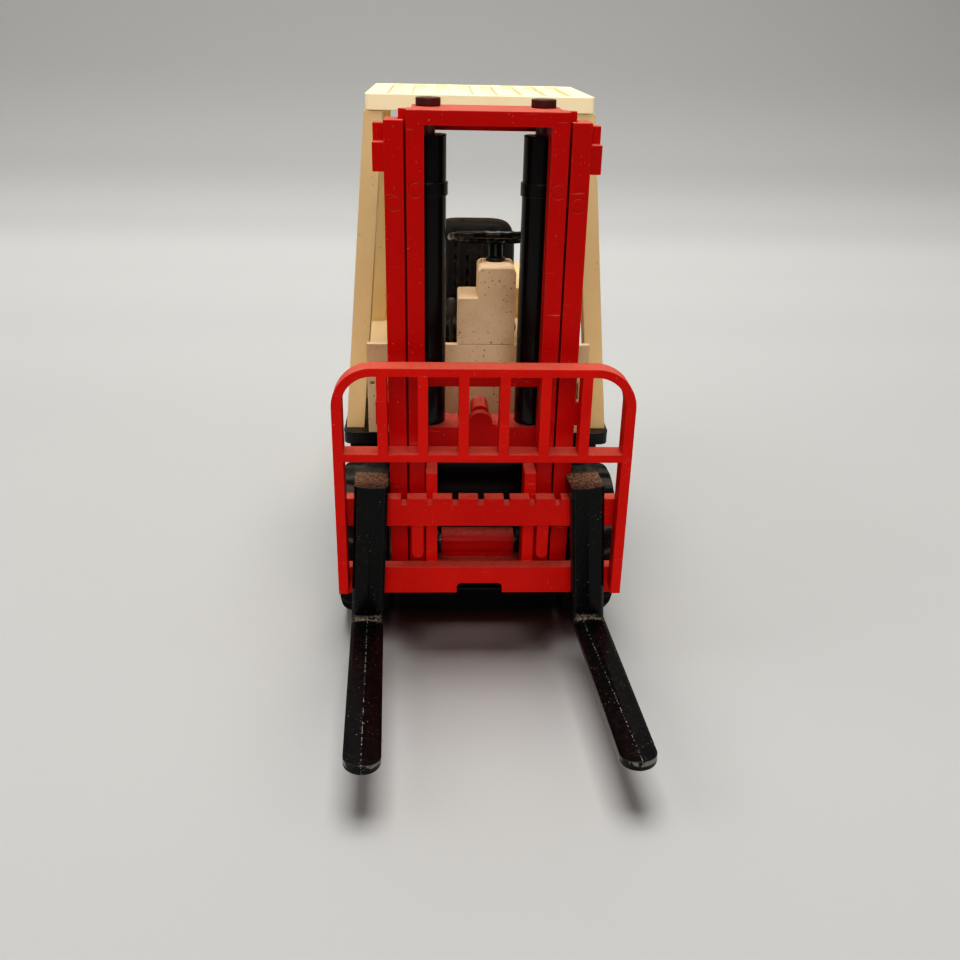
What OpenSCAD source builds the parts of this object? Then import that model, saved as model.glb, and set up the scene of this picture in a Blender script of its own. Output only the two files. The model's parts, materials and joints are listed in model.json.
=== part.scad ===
// Toy forklift truck in 1:25 scale: chassis, cab and counterweight, rolling wheels, a steered
// rear axle, a tilting two-stage mast, a sliding carriage with load backrest, and two forks.
// Millimetres, +Z up, the forks point to -Y. The ground is Z = 0.
// Left and right are the driver's: left is +X.

/* [Overall] */
// Height of the outer mast rails above the ground
mast_h = 82.8; // [78:0.1:92]
// Height of the overhead guard above the ground
guard_h = 84.4; // [80:0.1:95]
// Width over the front tyres
track_w = 46; // [44:0.1:52]
// Width of the hood and the counterweight
body_w = 40.4; // [38:0.1:44]
// Distance between the front and rear axles
wheel_base = 62; // [56:0.5:74]
// Height of the fender tops and of the chassis
deck_z = 31.5; // [30.5:0.1:33]

/* [Wheels] */
// Front tyre diameter
front_tyre_d = 26.2; // [24:0.1:27]
// Front tyre width
front_tyre_w = 8.4; // [6:0.1:9]
// Rear tyre diameter
rear_tyre_d = 20; // [17:0.1:21]
// Rear tyre width
rear_tyre_w = 6.2; // [5:0.1:7]
// Distance from the centre plane to the outside of a rear tyre
rear_reach = 19.4; // [18:0.1:20]
// Diameter of the axle pins
axle_d = 2; // [1.6:0.1:2.4]
// Rim radius as a share of the tyre radius
rim_share = 0.61; // [0.5:0.01:0.7]
// Largest steering angle of the rear axle
steer_max = 18; // [0:1:20]

/* [Mast] */
// Width over the outer rails
mast_w = 28; // [26:0.1:28.4]
// Width of an outer rail
outer_rail_w = 2.65; // [2.4:0.05:3]
// Depth of an outer rail, front to back
outer_rail_d = 5.5; // [5:0.1:6]
// Width of an inner rail
inner_rail_w = 2.4; // [2.2:0.05:2.8]
// Depth of an inner rail, front to back
inner_rail_d = 4.6; // [4.4:0.1:4.8]
// Height of the rails' lower ends above the ground
mast_foot_z = 10.5; // [8:0.1:12]
// How far the inner mast stands above the outer one when it is down
inner_mast_rise = 1.3; // [0.5:0.1:3]
// Height of the bar that closes the inner mast at the top
crossbar_h = 1.9; // [1.5:0.1:3]
// Height of the pin that the mast tilts on
pivot_z = 15.9; // [15:0.1:17]
// Distance of that pin behind the mast's front face
pivot_y = 7.8; // [7.6:0.1:8.2]
// Diameter of that pin
pivot_d = 2; // [1.6:0.1:2.2]
// Distance of a lift cylinder from the centre plane
lift_x = 8.1; // [7.8:0.1:8.4]
// Diameter of a lift cylinder
lift_d = 5.2; // [4.6:0.1:5.3]
// Diameter of a lift rod
lift_rod_d = 2; // [1.4:0.1:2.4]

/* [Carriage] */
// Length of the two fork bars
bar_l = 43.6; // [40:0.1:44]
// Height of a fork bar
bar_h = 4.6; // [4:0.1:5]
// Thickness of a fork bar
bar_t = 2.1; // [1.8:0.1:2.4]
// Height of the lower bar's bottom edge above the ground
lower_bar_z = 12.4; // [11.5:0.1:14]
// Height of the upper bar's bottom edge above the ground
upper_bar_z = 24.3; // [23:0.1:26]
// Gap between the fork bars and the mast
bar_gap = 1.5; // [1.4:0.1:2]
// Distance between two positioning notches in the upper bar
notch_pitch = 3.93; // [3.5:0.01:4.2]
// Width of a positioning notch
notch_w = 0.95; // [0.6:0.05:1.4]
// Depth of a positioning notch
notch_depth = 1.05; // [0.6:0.05:1.5]

/* [Load backrest] */
// Width of the backrest
rest_w = 43.7; // [42.5:0.1:46]
// Height of its top edge above the ground
rest_top_z = 50.6; // [46:0.1:54]
// Height of its lower ends above the ground
rest_foot_z = 14.1; // [13.5:0.1:16]
// Height of the top edge of its second bar
rest_bar_z = 37.55; // [35:0.05:40]
// Depth of the backrest, front to back
rest_d = 3.2; // [2.6:0.1:3.6]
// Thickness of its horizontal bars
rest_bar_h = 1.2; // [1:0.05:1.6]
// Width of its upright bars and sides
rest_post_w = 1.45; // [1.2:0.05:1.6]
// Distance between two upright bars
rest_pitch = 5.85; // [5.4:0.01:6]
// Radius of its upper outer corners
rest_corner_r = 5.9; // [4:0.1:7]

/* [Forks] */
// Distance of the left fork's hook from the centre plane
fork_left_x = 15.9; // [15:0.1:17]
// Distance of the right fork's hook from the centre plane
fork_right_x = 16.8; // [16:0.1:17.2]
// How far the loose left fork leans outwards, in degrees
fork_left_splay = 3.8; // [0:0.1:4]
// How far the loose right fork leans outwards, in degrees
fork_right_splay = 2.9; // [0:0.1:4]
// How far the loose left fork is turned towards the left, in degrees
fork_left_turn = 3.7; // [0:0.1:4]
// How far the loose right fork is turned towards the left, in degrees
fork_right_turn = 2.4; // [0:0.1:4]
// Width of a fork
fork_w = 5; // [4:0.1:5.2]
// Thickness of the upright shank
shank_t = 2.35; // [2:0.05:2.6]
// Length of the blade in front of the shank
blade_l = 34; // [28:0.5:46]
// Thickness of the blade
blade_t = 1.5; // [1.2:0.05:2]
// Height of the blade's underside above the ground
blade_z = 7.6; // [7:0.1:9]
// Height of the fork's top end above the ground
fork_top_z = 31.85; // [31:0.05:33]

/* [Cab] */
// Distance of the cowl behind the mast's front face
cowl_y = 17; // [16.8:0.1:18]
// Half of the cowl's width
cowl_half_w = 18.3; // [17.5:0.1:18.6]
// Height of the cowl's top edge above the ground
cowl_top_z = 47; // [45:0.1:49]
// Height of the console's low step above the ground
console_low_z = 54.65; // [52:0.05:56]
// Height of the console's high step above the ground
console_high_z = 59.5; // [58:0.1:60]
// Height of the engine hood above the ground
hood_top_z = 40; // [38:0.1:42]
// Width of the seat
seat_w = 15.6; // [13:0.1:17]
// Height of the seat's top edge above the ground
seat_top_z = 62; // [58:0.1:64]
// Outer diameter of the steering wheel
steering_d = 15.8; // [13:0.1:16]
// Thickness of the steering wheel's rim
steering_rim_d = 1.3; // [1:0.05:1.6]
// Tilt of the steering wheel towards the driver
steering_tilt = 14; // [5:1:20]
// Width of the overhead guard's roof
roof_w = 36.6; // [34:0.1:38]
// Thickness of the overhead guard's roof
roof_t = 2.4; // [1.8:0.1:3]
// Width of a guard pillar
pillar_w = 3; // [2.4:0.1:3.4]
// Depth of a guard pillar
pillar_d = 4; // [3:0.1:4.4]
// Number of slots in the roof
roof_slots = 8; // [4:1:10]
// Depth of those slots
roof_slot_depth = 0.5; // [0.2:0.1:1.5]

/* [Counterweight] */
// Length of the counterweight behind the hood
weight_l = 35.8; // [30:0.1:42]
// Height of the counterweight above the ground
weight_top_z = 46; // [42:0.1:48]
// Radius of its rear corners
weight_corner_r = 6; // [3:0.1:8]

/* [Clearances] */
// Radial clearance of a pin that turns in a bore
run_gap = 0.05; // [0.03:0.01:0.08]
// Radial clearance of a pin that is held fast
fixed_gap = 0.02; // [0.01:0.01:0.03]
// Clearance of a sliding face
slide_gap = 0.15; // [0.1:0.01:0.2]
// Play of a loose fork on the two bars, front, back and top
fork_play = 0.24; // [0.2:0.01:0.3]
// Gap between two bolted or clipped pieces
seam = 0.05; // [0.02:0.01:0.1]

/* [Hidden] */
$fn = 48;
eps = 0.01;

// Colours
red = "#b0150a";
cream = "#e3cda4";
black = "#161616";
seat_black = "#242424";
rubber = "#1c1c1c";
steel = "#8d8d8d";
knob_grey = "#6a6a64";

// Places along the truck, measured back from the mast's front face
bar_back_y = -bar_gap;
bar_front_y = bar_back_y - bar_t;
shank_back_y = bar_front_y - fork_play;
shank_front_y = shank_back_y - shank_t;
tip_y = shank_front_y - blade_l;
rest_back_y = bar_front_y;
rest_front_y = rest_back_y - rest_d;
front_axle_y = 14.5;
rear_axle_y = front_axle_y + wheel_base;
chassis_front_y = 11.4;
front_r = front_tyre_d / 2;
rear_r = rear_tyre_d / 2;

// The rear wheels sweep this far forwards and sideways when they steer
swing_r = norm([rear_reach, rear_r]);
swing_y = swing_r * sin(atan2(rear_r, rear_reach) + steer_max);
body_split_y = rear_axle_y - swing_y - 0.8;
weight_back_y = body_split_y + weight_l;
weight_floor_z = rear_tyre_d + 1.5;

// The loose forks' tips reach this far forwards
bar_mid_y = bar_back_y - bar_t / 2;
bar_top_z = upper_bar_z + bar_h;
function fork_reach(splay, turn) = bar_mid_y + (tip_y + fork_w / 2 - bar_mid_y) * cos(turn)
    + (blade_z - bar_top_z) * sin(splay) * sin(turn) - fork_w / 2;
front_reach_y = min(fork_reach(-fork_left_splay, fork_left_turn),
    fork_reach(fork_right_splay, fork_right_turn));

// The origin is under the centre of the whole model
centre_y = (front_reach_y + weight_back_y) / 2;

// Chassis
tyre_gap = 1.2;
front_inner_x = track_w / 2 - front_tyre_w;
chassis_half_w = front_inner_x - tyre_gap;
chassis_floor_z = 3;
rivet_r = 1.2;
lip_y = 8.6;
lip_low_z = 1.8;
lip_top_z = 5.8;
fender_half_w = track_w / 2 - 0.4;
fender_t = 2.1;
fender_wall_y = front_axle_y + front_r + 1.2;
fender_wall_t = 2.2;
sill_y = fender_wall_y + fender_wall_t;
step_z = 11;
step_t = 2.5;
step_back_y = body_split_y - 2.2;
sill_z = step_z + step_t;
tail_plate_half_w = 12;
tail_plate_t = 4.5;
tail_foot_z = 9;
kingpin_d = 4;
grille_z = weight_top_z - 9;
ear_w = 2;
ear_x = 6.3;
ear_r = 2.2;

// Cab
cowl_t = 1.2;
floor_t = 1.5;
floor_z = deck_z + seam;
floor_back_y = 33.8;
hood_front_y = floor_back_y + 0.1;
console_x0 = -3.45;
console_x1 = -0.25;
console_x2 = 5.8;
console_back_y = 25;
console_corner_r = 0.9;
steering_x = (console_x1 + console_x2) / 2;
steering_y = 23.2;
steering_hub_r = 1.5;
steering_stub_r = 0.6;
column_l = 2.6;
roof_z = guard_h - roof_t;
roof_front_y = cowl_y + 11;
roof_back_y = body_split_y + 0.8;
front_foot_y = cowl_y + 2.2;
front_foot_x = 19.2;
front_head_x = roof_w / 2 + 0.2 - pillar_w;
rear_foot_x = 17.2;
rear_foot_y = body_split_y - pillar_d + 0.4;
seat_front_y = 35.2;
seat_back_y = 47;
seat_cushion_h = 4;
seat_base_h = 2;
lever_x = [-4.4, -6.3];
lever_top_z = [53.1, 56.5];
lever_y = 23.5;
lever_box_z = 45;

// Mast
outer_x = mast_w / 2;
outer_in_x = outer_x - outer_rail_w;
inner_x = outer_in_x - 0.35;
inner_in_x = inner_x - inner_rail_w;
mast_top_z = mast_h + inner_mast_rise;
tongue_t = 1.1;
tongue_y = 2.2;
tongue_d = 1.4;
roller_t = 1;
roller_y = 1.55;
roller_d = 1.5;
cross_z = 37.3;
cross_h = 4.5;
cross_y = 4.85;
lift_y = 8.2;
lift_r = lift_d / 2;
lift_top_z = mast_h - 2.4;
lift_floor_t = 1.5;
collar_z = lift_top_z - 8.3;
collar_h = 1.8;
collar_t = 0.25;
cap_r = 1.76;
cap_h = 1.15;
plate_back_y = 11.4;
plate_half_w = 10.4;
mid_bar_y = 3.4;
mid_bar_t = 1.6;
mid_bar_z = 44.5;
mid_bar_h = 3;
low_bar_z = 21.5;
tube_r = 2.1;
ear_gap = 0.3;
mark_r = 1.1;
mark_line = 0.25;
mark_depth = 0.12;

// Tilt cylinders, each from a lug on the mast to a bracket on the floor plate
tilt_x = 15;
tilt_mast_y = 4.6;
tilt_mast_z = 41;
tilt_floor_y = 27;
tilt_floor_z = floor_z + floor_t + 2.2;
tilt_angle = atan2(tilt_mast_z - tilt_floor_z, tilt_floor_y - tilt_mast_y);
tilt_l = norm([tilt_mast_z - tilt_floor_z, tilt_floor_y - tilt_mast_y]);
tilt_barrel_r = 1.2;
tilt_barrel_l = 13;
tilt_rod_r = 0.55;
tilt_eye_r = 1.2;
tilt_eye_w = 0.8;
tilt_pin_r = 0.5;
tilt_open_gap = 0.25;

// Carriage and forks
plate_in_x = 6.7;
plate_out_x = inner_in_x - slide_gap;
plate_top_z = 32.2;
carriage_plate_back_y = mid_bar_y - 0.2;
hook_t = 0.9;
ridge = 0.3;
edge_cut = 0.45;

// ---- Shared shapes ----

// Moves a piece from the mast's own place into the frame of the whole model
module place() {
    translate([0, -centre_y, 0]) children();
}

// A box given by its lowest and highest corners
module box(low, high) {
    translate(low) cube(high - low);
}

// A box that is there on both sides of the centre plane, between two distances from it
module twin_box(x0, x1, y0, y1, z0, z1) {
    for (side = [-1, 1])
        box([side > 0 ? x0 : -x1, y0, z0], [side > 0 ? x1 : -x0, y1, z1]);
}

// A cylinder along X between two places
module x_rod(r, x0, x1, y, z) {
    translate([x0, y, z]) rotate([0, 90, 0]) cylinder(h = x1 - x0, r = r);
}

// A rectangle in the plane with some of its corners rounded: [low left, low right, top right, top left]
module round_rect(low, high, r, corners = [1, 1, 1, 1]) {
    points = [low, [high[0], low[1]], high, [low[0], high[1]]];
    inward = [[1, 1], [-1, 1], [-1, -1], [1, -1]];
    difference() {
        translate(low) square(high - low);
        for (i = [0:3]) if (corners[i] > 0) difference() {
            translate(points[i] + [inward[i][0] < 0 ? -r : -eps, inward[i][1] < 0 ? -r : -eps])
                square(r + eps);
            translate(points[i] + inward[i] * r) circle(r);
        }
    }
}

// Turns a flat outline in X and Z into a plate between two places along Y
module xz_plate(y0, y1) {
    translate([0, y1, 0]) rotate([90, 0, 0]) linear_extrude(y1 - y0) children();
}

// Turns a flat outline in Y and Z into a plate between two places along X
module yz_plate(x0, x1) {
    translate([x0, 0, 0]) rotate([90, 0, 90]) linear_extrude(x1 - x0) children();
}

// ---- Chassis ----

module chassis_frame() {
    axle_bore_r = axle_d / 2 + fixed_gap;
    color(black) place() difference() {
        union() {
            box([-chassis_half_w, chassis_front_y, chassis_floor_z], [chassis_half_w, body_split_y, deck_z]);
            box([-chassis_half_w, lip_y, lip_low_z], [chassis_half_w, chassis_front_y + 1, lip_top_z]);
            twin_box(chassis_half_w - 1, body_w / 2, sill_y, body_split_y, sill_z, deck_z);
            box([-tail_plate_half_w, body_split_y - 1, weight_floor_z],
                [tail_plate_half_w, rear_axle_y + 11.5, weight_floor_z + tail_plate_t]);
            twin_box(ear_x, ear_x + ear_w, pivot_y, chassis_front_y + 1, pivot_z - ear_r, pivot_z + ear_r);
            for (x = [-ear_x - ear_w, ear_x]) x_rod(ear_r, x, x + ear_w, pivot_y, pivot_z);
        }
        x_rod(pivot_d / 2 + fixed_gap, -outer_x, outer_x, pivot_y, pivot_z);
        x_rod(axle_bore_r, -track_w, track_w, front_axle_y, front_r);
        translate([0, rear_axle_y, weight_floor_z - 1])
            cylinder(h = tail_plate_t + 2, d = kingpin_d + 2 * run_gap);
        for (p = rivet_places())
            translate([p[0], p[1], chassis_floor_z - eps]) cylinder(h = 1.5, r = rivet_r + fixed_gap);
    }
}

// Where the rivets sit in the chassis
function rivet_places() = [for (x = [-9, 9], y = [chassis_front_y + 9, body_split_y - 8]) [x, y]];

module chassis_rivets() {
    color(steel) place() for (p = rivet_places())
        translate([p[0], p[1], chassis_floor_z]) cylinder(h = 1.4, r = rivet_r);
}

// One fender over a front tyre, with the mudguard behind it and the step below the door side
module fender_step(side) {
    color(black) place() intersection() {
        yz_plate(side > 0 ? chassis_half_w : -fender_half_w,
            side > 0 ? fender_half_w : -chassis_half_w) union() {
            translate([cowl_y, deck_z - fender_t]) square([sill_y - cowl_y, fender_t]);
            translate([fender_wall_y, step_z]) square([fender_wall_t, deck_z - step_z]);
            translate([fender_wall_y, step_z]) square([step_back_y - fender_wall_y, step_t]);
        }
        linear_extrude(deck_z + 1)
            round_rect([-fender_half_w, cowl_y], [fender_half_w, step_back_y], 1.6);
    }
}

module fender_step_left() { fender_step(1); }
module fender_step_right() { fender_step(-1); }

module front_cowl() {
    slot_z = deck_z + 8.6;
    color(cream) place() difference() {
        box([-cowl_half_w, cowl_y, floor_z], [cowl_half_w, cowl_y + cowl_t, cowl_top_z]);
        twin_box(tilt_x - 1.8, tilt_x + 1.8, cowl_y - 1, cowl_y + cowl_t + 1, 35.2, 40.4);
        twin_box(cowl_half_w - 1.2, cowl_half_w - 0.5, cowl_y - 1, cowl_y + cowl_t + 1, slot_z, slot_z + 0.5);
    }
}

module instrument_console() {
    low = floor_z + floor_t + seam;
    color(cream) place() union() {
        xz_plate(cowl_y, console_back_y) union() {
            round_rect([console_x0, cowl_top_z + seam], [console_x1 + eps, console_low_z],
                console_corner_r / 2, [0, 0, 0, 1]);
            round_rect([console_x1, cowl_top_z + seam], [console_x2, console_high_z], console_corner_r,
                [0, 0, 1, 1]);
        }
        box([console_x0, cowl_y + cowl_t + seam, low], [console_x2, console_back_y, cowl_top_z + 1]);
    }
}

module floor_plate() {
    top = floor_z + floor_t;
    color(black) place() difference() {
        union() {
            box([-cowl_half_w, cowl_y + cowl_t + seam, floor_z], [cowl_half_w, floor_back_y, top]);
            for (side = [-1, 1], end = [-1, 1])
                translate([side * tilt_x + end * 1.35 - 0.45, tilt_floor_y, 0]) {
                    x_rod(1.1, 0, 0.9, 0, tilt_floor_z);
                    box([0, -1.1, top - eps], [0.9, 1.1, tilt_floor_z]);
                }
        }
        for (side = [-1, 1])
            x_rod(tilt_pin_r + run_gap, side * tilt_x - 3, side * tilt_x + 3, tilt_floor_y, tilt_floor_z);
    }
}

module engine_hood() {
    louvre_n = 6;
    louvre_pitch = 2.6;
    low = deck_z + seam;
    color(cream) place() difference() {
        xz_plate(hood_front_y, body_split_y)
            round_rect([-body_w / 2, low], [body_w / 2, hood_top_z], 1, [0, 0, 1, 1]);
        for (i = [0:louvre_n - 1])
            twin_box(body_w / 2 - 0.5, body_w / 2 + 1, hood_front_y + 4 + i * louvre_pitch,
                hood_front_y + 5.2 + i * louvre_pitch, low + 1.6, hood_top_z - 2);
    }
}

// ---- Seat and controls ----

module seat_base() {
    color(black) place()
        box([-seat_w / 2 + 1.2, seat_front_y + 1, hood_top_z + seam],
            [seat_w / 2 - 1.2, seat_back_y + 3, hood_top_z + seat_base_h]);
}

module seat_cushion() {
    low = hood_top_z + seat_base_h + seam;
    color(seat_black) place() translate([0, 0, low]) linear_extrude(seat_cushion_h - seam)
        round_rect([-seat_w / 2, seat_front_y], [seat_w / 2, seat_back_y], 1.8);
}

module seat_back() {
    low = hood_top_z + seat_base_h + seam;
    color(seat_black) place() xz_plate(seat_back_y + seam, seat_back_y + 3.4)
        round_rect([-seat_w / 2, low], [seat_w / 2, seat_top_z], 2.2);
}

module steering_column() {
    color(black) place() translate([steering_x, steering_y, console_high_z + seam]) {
        cylinder(h = 0.5, r = 1.6);
        rotate([-steering_tilt, 0, 0]) {
            translate([0, 0, 0.4]) cylinder(h = column_l - 0.4, r = 1.15);
            translate([0, 0, 0.4]) cylinder(h = column_l + 1, r = steering_stub_r);
        }
    }
}

module steering_wheel() {
    ring_r = (steering_d - steering_rim_d) / 2;
    color(black) place() translate([steering_x, steering_y, console_high_z + seam])
        rotate([-steering_tilt, 0, 0]) translate([0, 0, column_l + 0.1]) difference() {
            union() {
                rotate_extrude() translate([ring_r, 0.9]) circle(d = steering_rim_d);
                cylinder(h = 1.6, r = steering_hub_r);
                for (a = [90, 210, 330]) rotate([0, 0, a])
                    box([0, -0.55, 0.6], [ring_r, 0.55, 1.2]);
            }
            translate([0, 0, -1]) cylinder(h = 2.35, r = steering_stub_r + run_gap);
        }
}

module lever_bracket() {
    color(black) place()
        box([lever_x[1] - 1.1, lever_y - 1.6, floor_z + floor_t + seam],
            [console_x0 - 0.1, lever_y + 1.6, lever_box_z]);
}

// A lever with a round knob
module lever(i) {
    knob_l = 3.2;
    translate([lever_x[i], lever_y, lever_box_z]) {
        translate([0, 0, seam]) cylinder(h = lever_top_z[i] - lever_box_z - knob_l + 0.5, r = 0.35);
        translate([0, 0, lever_top_z[i] - lever_box_z - knob_l]) cylinder(h = knob_l, r = 0.9);
    }
}

module lift_lever() { color(knob_grey) place() lever(0); }
module tilt_lever() { color(black) place() lever(1); }

// ---- Overhead guard ----

module guard_roof() {
    slot_pitch = (roof_w - 5) / roof_slots;
    color(cream) place() difference() {
        translate([0, 0, roof_z]) linear_extrude(roof_t)
            round_rect([-roof_w / 2, roof_front_y], [roof_w / 2, roof_back_y], 1);
        for (i = [0:roof_slots - 1])
            translate([-roof_w / 2 + 2.5 + slot_pitch * (i + 0.5) - 1.1, roof_front_y + 2.4,
                guard_h - roof_slot_depth]) cube([2.2, roof_back_y - roof_front_y - 5, 1]);
    }
}

// A pillar that leans from a foot to a head
module pillar(foot, head, w, d) {
    hull() {
        translate(foot) cube([w, d, eps]);
        translate(head - [0, 0, eps + seam]) cube([w, d, eps]);
    }
}

module front_pillar(side) {
    color(cream) place() mirror([side > 0 ? 0 : 1, 0, 0])
        pillar([front_foot_x, front_foot_y, deck_z], [front_head_x, roof_front_y + 0.2, roof_z],
            pillar_w, pillar_d);
}

module rear_pillar(side) {
    color(cream) place() mirror([side > 0 ? 0 : 1, 0, 0])
        pillar([rear_foot_x, rear_foot_y, hood_top_z], [front_head_x, rear_foot_y + 0.4, roof_z], 2.8, 3.4);
}

module guard_front_pillar_left() { front_pillar(1); }
module guard_front_pillar_right() { front_pillar(-1); }
module guard_rear_pillar_left() { rear_pillar(1); }
module guard_rear_pillar_right() { rear_pillar(-1); }

// ---- Counterweight ----

module counterweight() {
    front = body_split_y + seam;
    back = weight_back_y;
    pocket_top_z = weight_floor_z + tail_plate_t + seam;
    tail_half_w = body_w / 2 - weight_corner_r;
    color(cream) place() difference() {
        union() {
            translate([0, 0, weight_floor_z]) linear_extrude(weight_top_z - weight_floor_z)
                round_rect([-body_w / 2, front], [body_w / 2, back], weight_corner_r, [0, 0, 1, 1]);
            box([-tail_half_w, rear_axle_y + swing_y + 0.8, tail_foot_z],
                [tail_half_w, back, weight_floor_z + 1]);
        }
        box([-tail_plate_half_w - seam, front - 1, weight_floor_z - 1],
            [tail_plate_half_w + seam, rear_axle_y + 11.5 + seam, pocket_top_z]);
        // the tow pocket, open to the rear, and the pin's bore through its lips
        box([-3.2, back - 4.5, weight_floor_z + 6], [3.2, back + 1, weight_floor_z + 11]);
        box([-3.2, back - 4.5, weight_floor_z + 13], [3.2, back + 1, weight_floor_z + 16]);
        translate([0, back - 2.2, weight_floor_z + 4]) cylinder(h = 10, r = 0.9 + fixed_gap);
        // the seat of the rear grille
        box([-9, back - 0.8, grille_z], [9, back + 1, grille_z + 5.2]);
        // the top falls away towards the rear
        translate([-body_w, back - 14, weight_top_z]) rotate([-9, 0, 0]) cube([2 * body_w, 30, 10]);
    }
}

module rear_grille() {
    back = weight_back_y;
    low = grille_z + seam;
    slat_pitch = 1.15;
    color(black) place() {
        box([-9 + seam, back - 0.75, low], [9 - seam, back - 0.5, low + 5.1 - seam]);
        for (i = [0:3]) box([-9 + seam, back - 0.5 - eps, low + 0.4 + i * slat_pitch],
            [9 - seam, back - 0.1, low + 1 + i * slat_pitch]);
    }
}

module tow_pin() {
    color(steel) place() translate([0, weight_back_y - 2.2, weight_floor_z]) {
        translate([0, 0, 4.1]) cylinder(h = 9.5, r = 0.9);
        translate([0, 0, 13 + seam]) cylinder(h = 1, r = 1.6);
    }
}

// ---- Wheels ----

// A rim of the outer radius r, its own axis along X, between the distances x0 and x1
module rim(r, x0, x1) {
    mid = (x0 + x1) / 2;
    wall = r * 0.16;
    difference() {
        rotate([90, 0, 90]) rotate_extrude() union() {
            translate([axle_d / 2 + run_gap, x0]) square([r * 0.26, x1 - x0]);
            translate([axle_d / 2 + run_gap, mid - 1]) square([r - wall - axle_d / 2, 2]);
            translate([r - wall, x0 + 0.9]) square([wall, x1 - x0 - 1.8]);
        }
        for (a = [0:60:359]) rotate([a, 0, 0])
            x_rod(r * 0.12, x0 - 1, x1 + 1, r * 0.58, 0);
    }
}

// A tyre on such a rim: round shoulders and three grooves round the tread
module tyre(r, rim_r, x0, x1) {
    shoulder = 1.5;
    w = x1 - x0;
    rotate([90, 0, 90]) rotate_extrude() difference() {
        translate([rim_r, 0]) round_rect([0, x0], [r - rim_r, x1], shoulder, [0, 1, 1, 0]);
        for (k = [0.3, 0.5, 0.7]) translate([r - 0.7, x0 + w * k - 0.25]) square([2, 0.5]);
    }
}

// A rim or a tyre at a wheel's place; side is 1 on the left
module front_rim(side) {
    r = front_r * rim_share;
    color(cream) place() translate([0, front_axle_y, front_r]) mirror([side > 0 ? 0 : 1, 0, 0])
        rim(r, chassis_half_w + 0.3, track_w / 2 - 0.9);
}

module front_tyre(side) {
    color(rubber) place() translate([0, front_axle_y, front_r]) mirror([side > 0 ? 0 : 1, 0, 0])
        tyre(front_r, front_r * rim_share, front_inner_x, track_w / 2);
}

module rear_rim(side) {
    r = rear_r * rim_share;
    color(cream) place() translate([0, rear_axle_y, rear_r]) mirror([side > 0 ? 0 : 1, 0, 0])
        rim(r, rear_reach - rear_tyre_w - 0.3, rear_reach - 0.9);
}

module rear_tyre(side) {
    color(rubber) place() translate([0, rear_axle_y, rear_r]) mirror([side > 0 ? 0 : 1, 0, 0])
        tyre(rear_r, rear_r * rim_share, rear_reach - rear_tyre_w, rear_reach);
}

module front_rim_left() { front_rim(1); }
module front_rim_right() { front_rim(-1); }
module front_tyre_left() { front_tyre(1); }
module front_tyre_right() { front_tyre(-1); }
module rear_rim_left() { rear_rim(1); }
module rear_rim_right() { rear_rim(-1); }
module rear_tyre_left() { rear_tyre(1); }
module rear_tyre_right() { rear_tyre(-1); }

// An axle pin with a head at each end
module axle_pin(half_l, y, z) {
    x_rod(axle_d / 2, -half_l, half_l, y, z);
    for (x = [-half_l, half_l - 0.6]) x_rod(axle_d / 2 + 0.6, x, x + 0.6, y, z);
}

module front_axle() {
    color(steel) place() axle_pin(track_w / 2 - 0.1, front_axle_y, front_r);
}

module rear_axle() {
    color(steel) place() axle_pin(rear_reach, rear_axle_y, rear_r);
}

module rear_axle_carrier() {
    half_l = rear_reach - rear_tyre_w - 0.6;
    color(black) place() difference() {
        union() {
            box([-half_l, rear_axle_y - 2, rear_r - 2], [half_l, rear_axle_y + 2, rear_r + 2]);
            translate([0, rear_axle_y, rear_r]) {
                cylinder(h = weight_floor_z - rear_r - 0.3, r = kingpin_d / 2 + 2);
                cylinder(h = weight_floor_z + tail_plate_t - rear_r - 0.2, d = kingpin_d);
            }
        }
        x_rod(axle_d / 2 + fixed_gap, -track_w, track_w, rear_axle_y, rear_r);
    }
}

// ---- Mast ----

module mast_pivot_pin() {
    color(steel) place() x_rod(pivot_d / 2, -outer_x + 0.4, outer_x - 0.4, pivot_y, pivot_z);
}

// The open lug on an outer rail that holds the end of a tilt cylinder's rod
module tilt_lug(side) {
    x0 = tilt_x - 1.2;
    x1 = tilt_x + 1;
    half = tilt_eye_w / 2 + 0.1;
    mirror([side > 0 ? 0 : 1, 0, 0]) {
        difference() {
            yz_plate(x0, x1) round_rect([1, 39.2], [tilt_mast_y + 1.4, 42.9], 0.8, [1, 0, 0, 1]);
            box([tilt_x - half, 1.9, 38], [tilt_x + half, 12, 44]);
        }
        x_rod(tilt_pin_r, x0, x1, tilt_mast_y, tilt_mast_z);
        box([x0, 1, 39.2], [x1, 1.95, 42.9]);
    }
}

// The ring that a moulding pin leaves in a rail's face
module ring_mark() {
    difference() {
        cylinder(h = 1, r = mark_r);
        translate([0, 0, -1]) cylinder(h = 3, r = mark_r - mark_line);
    }
}

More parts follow.
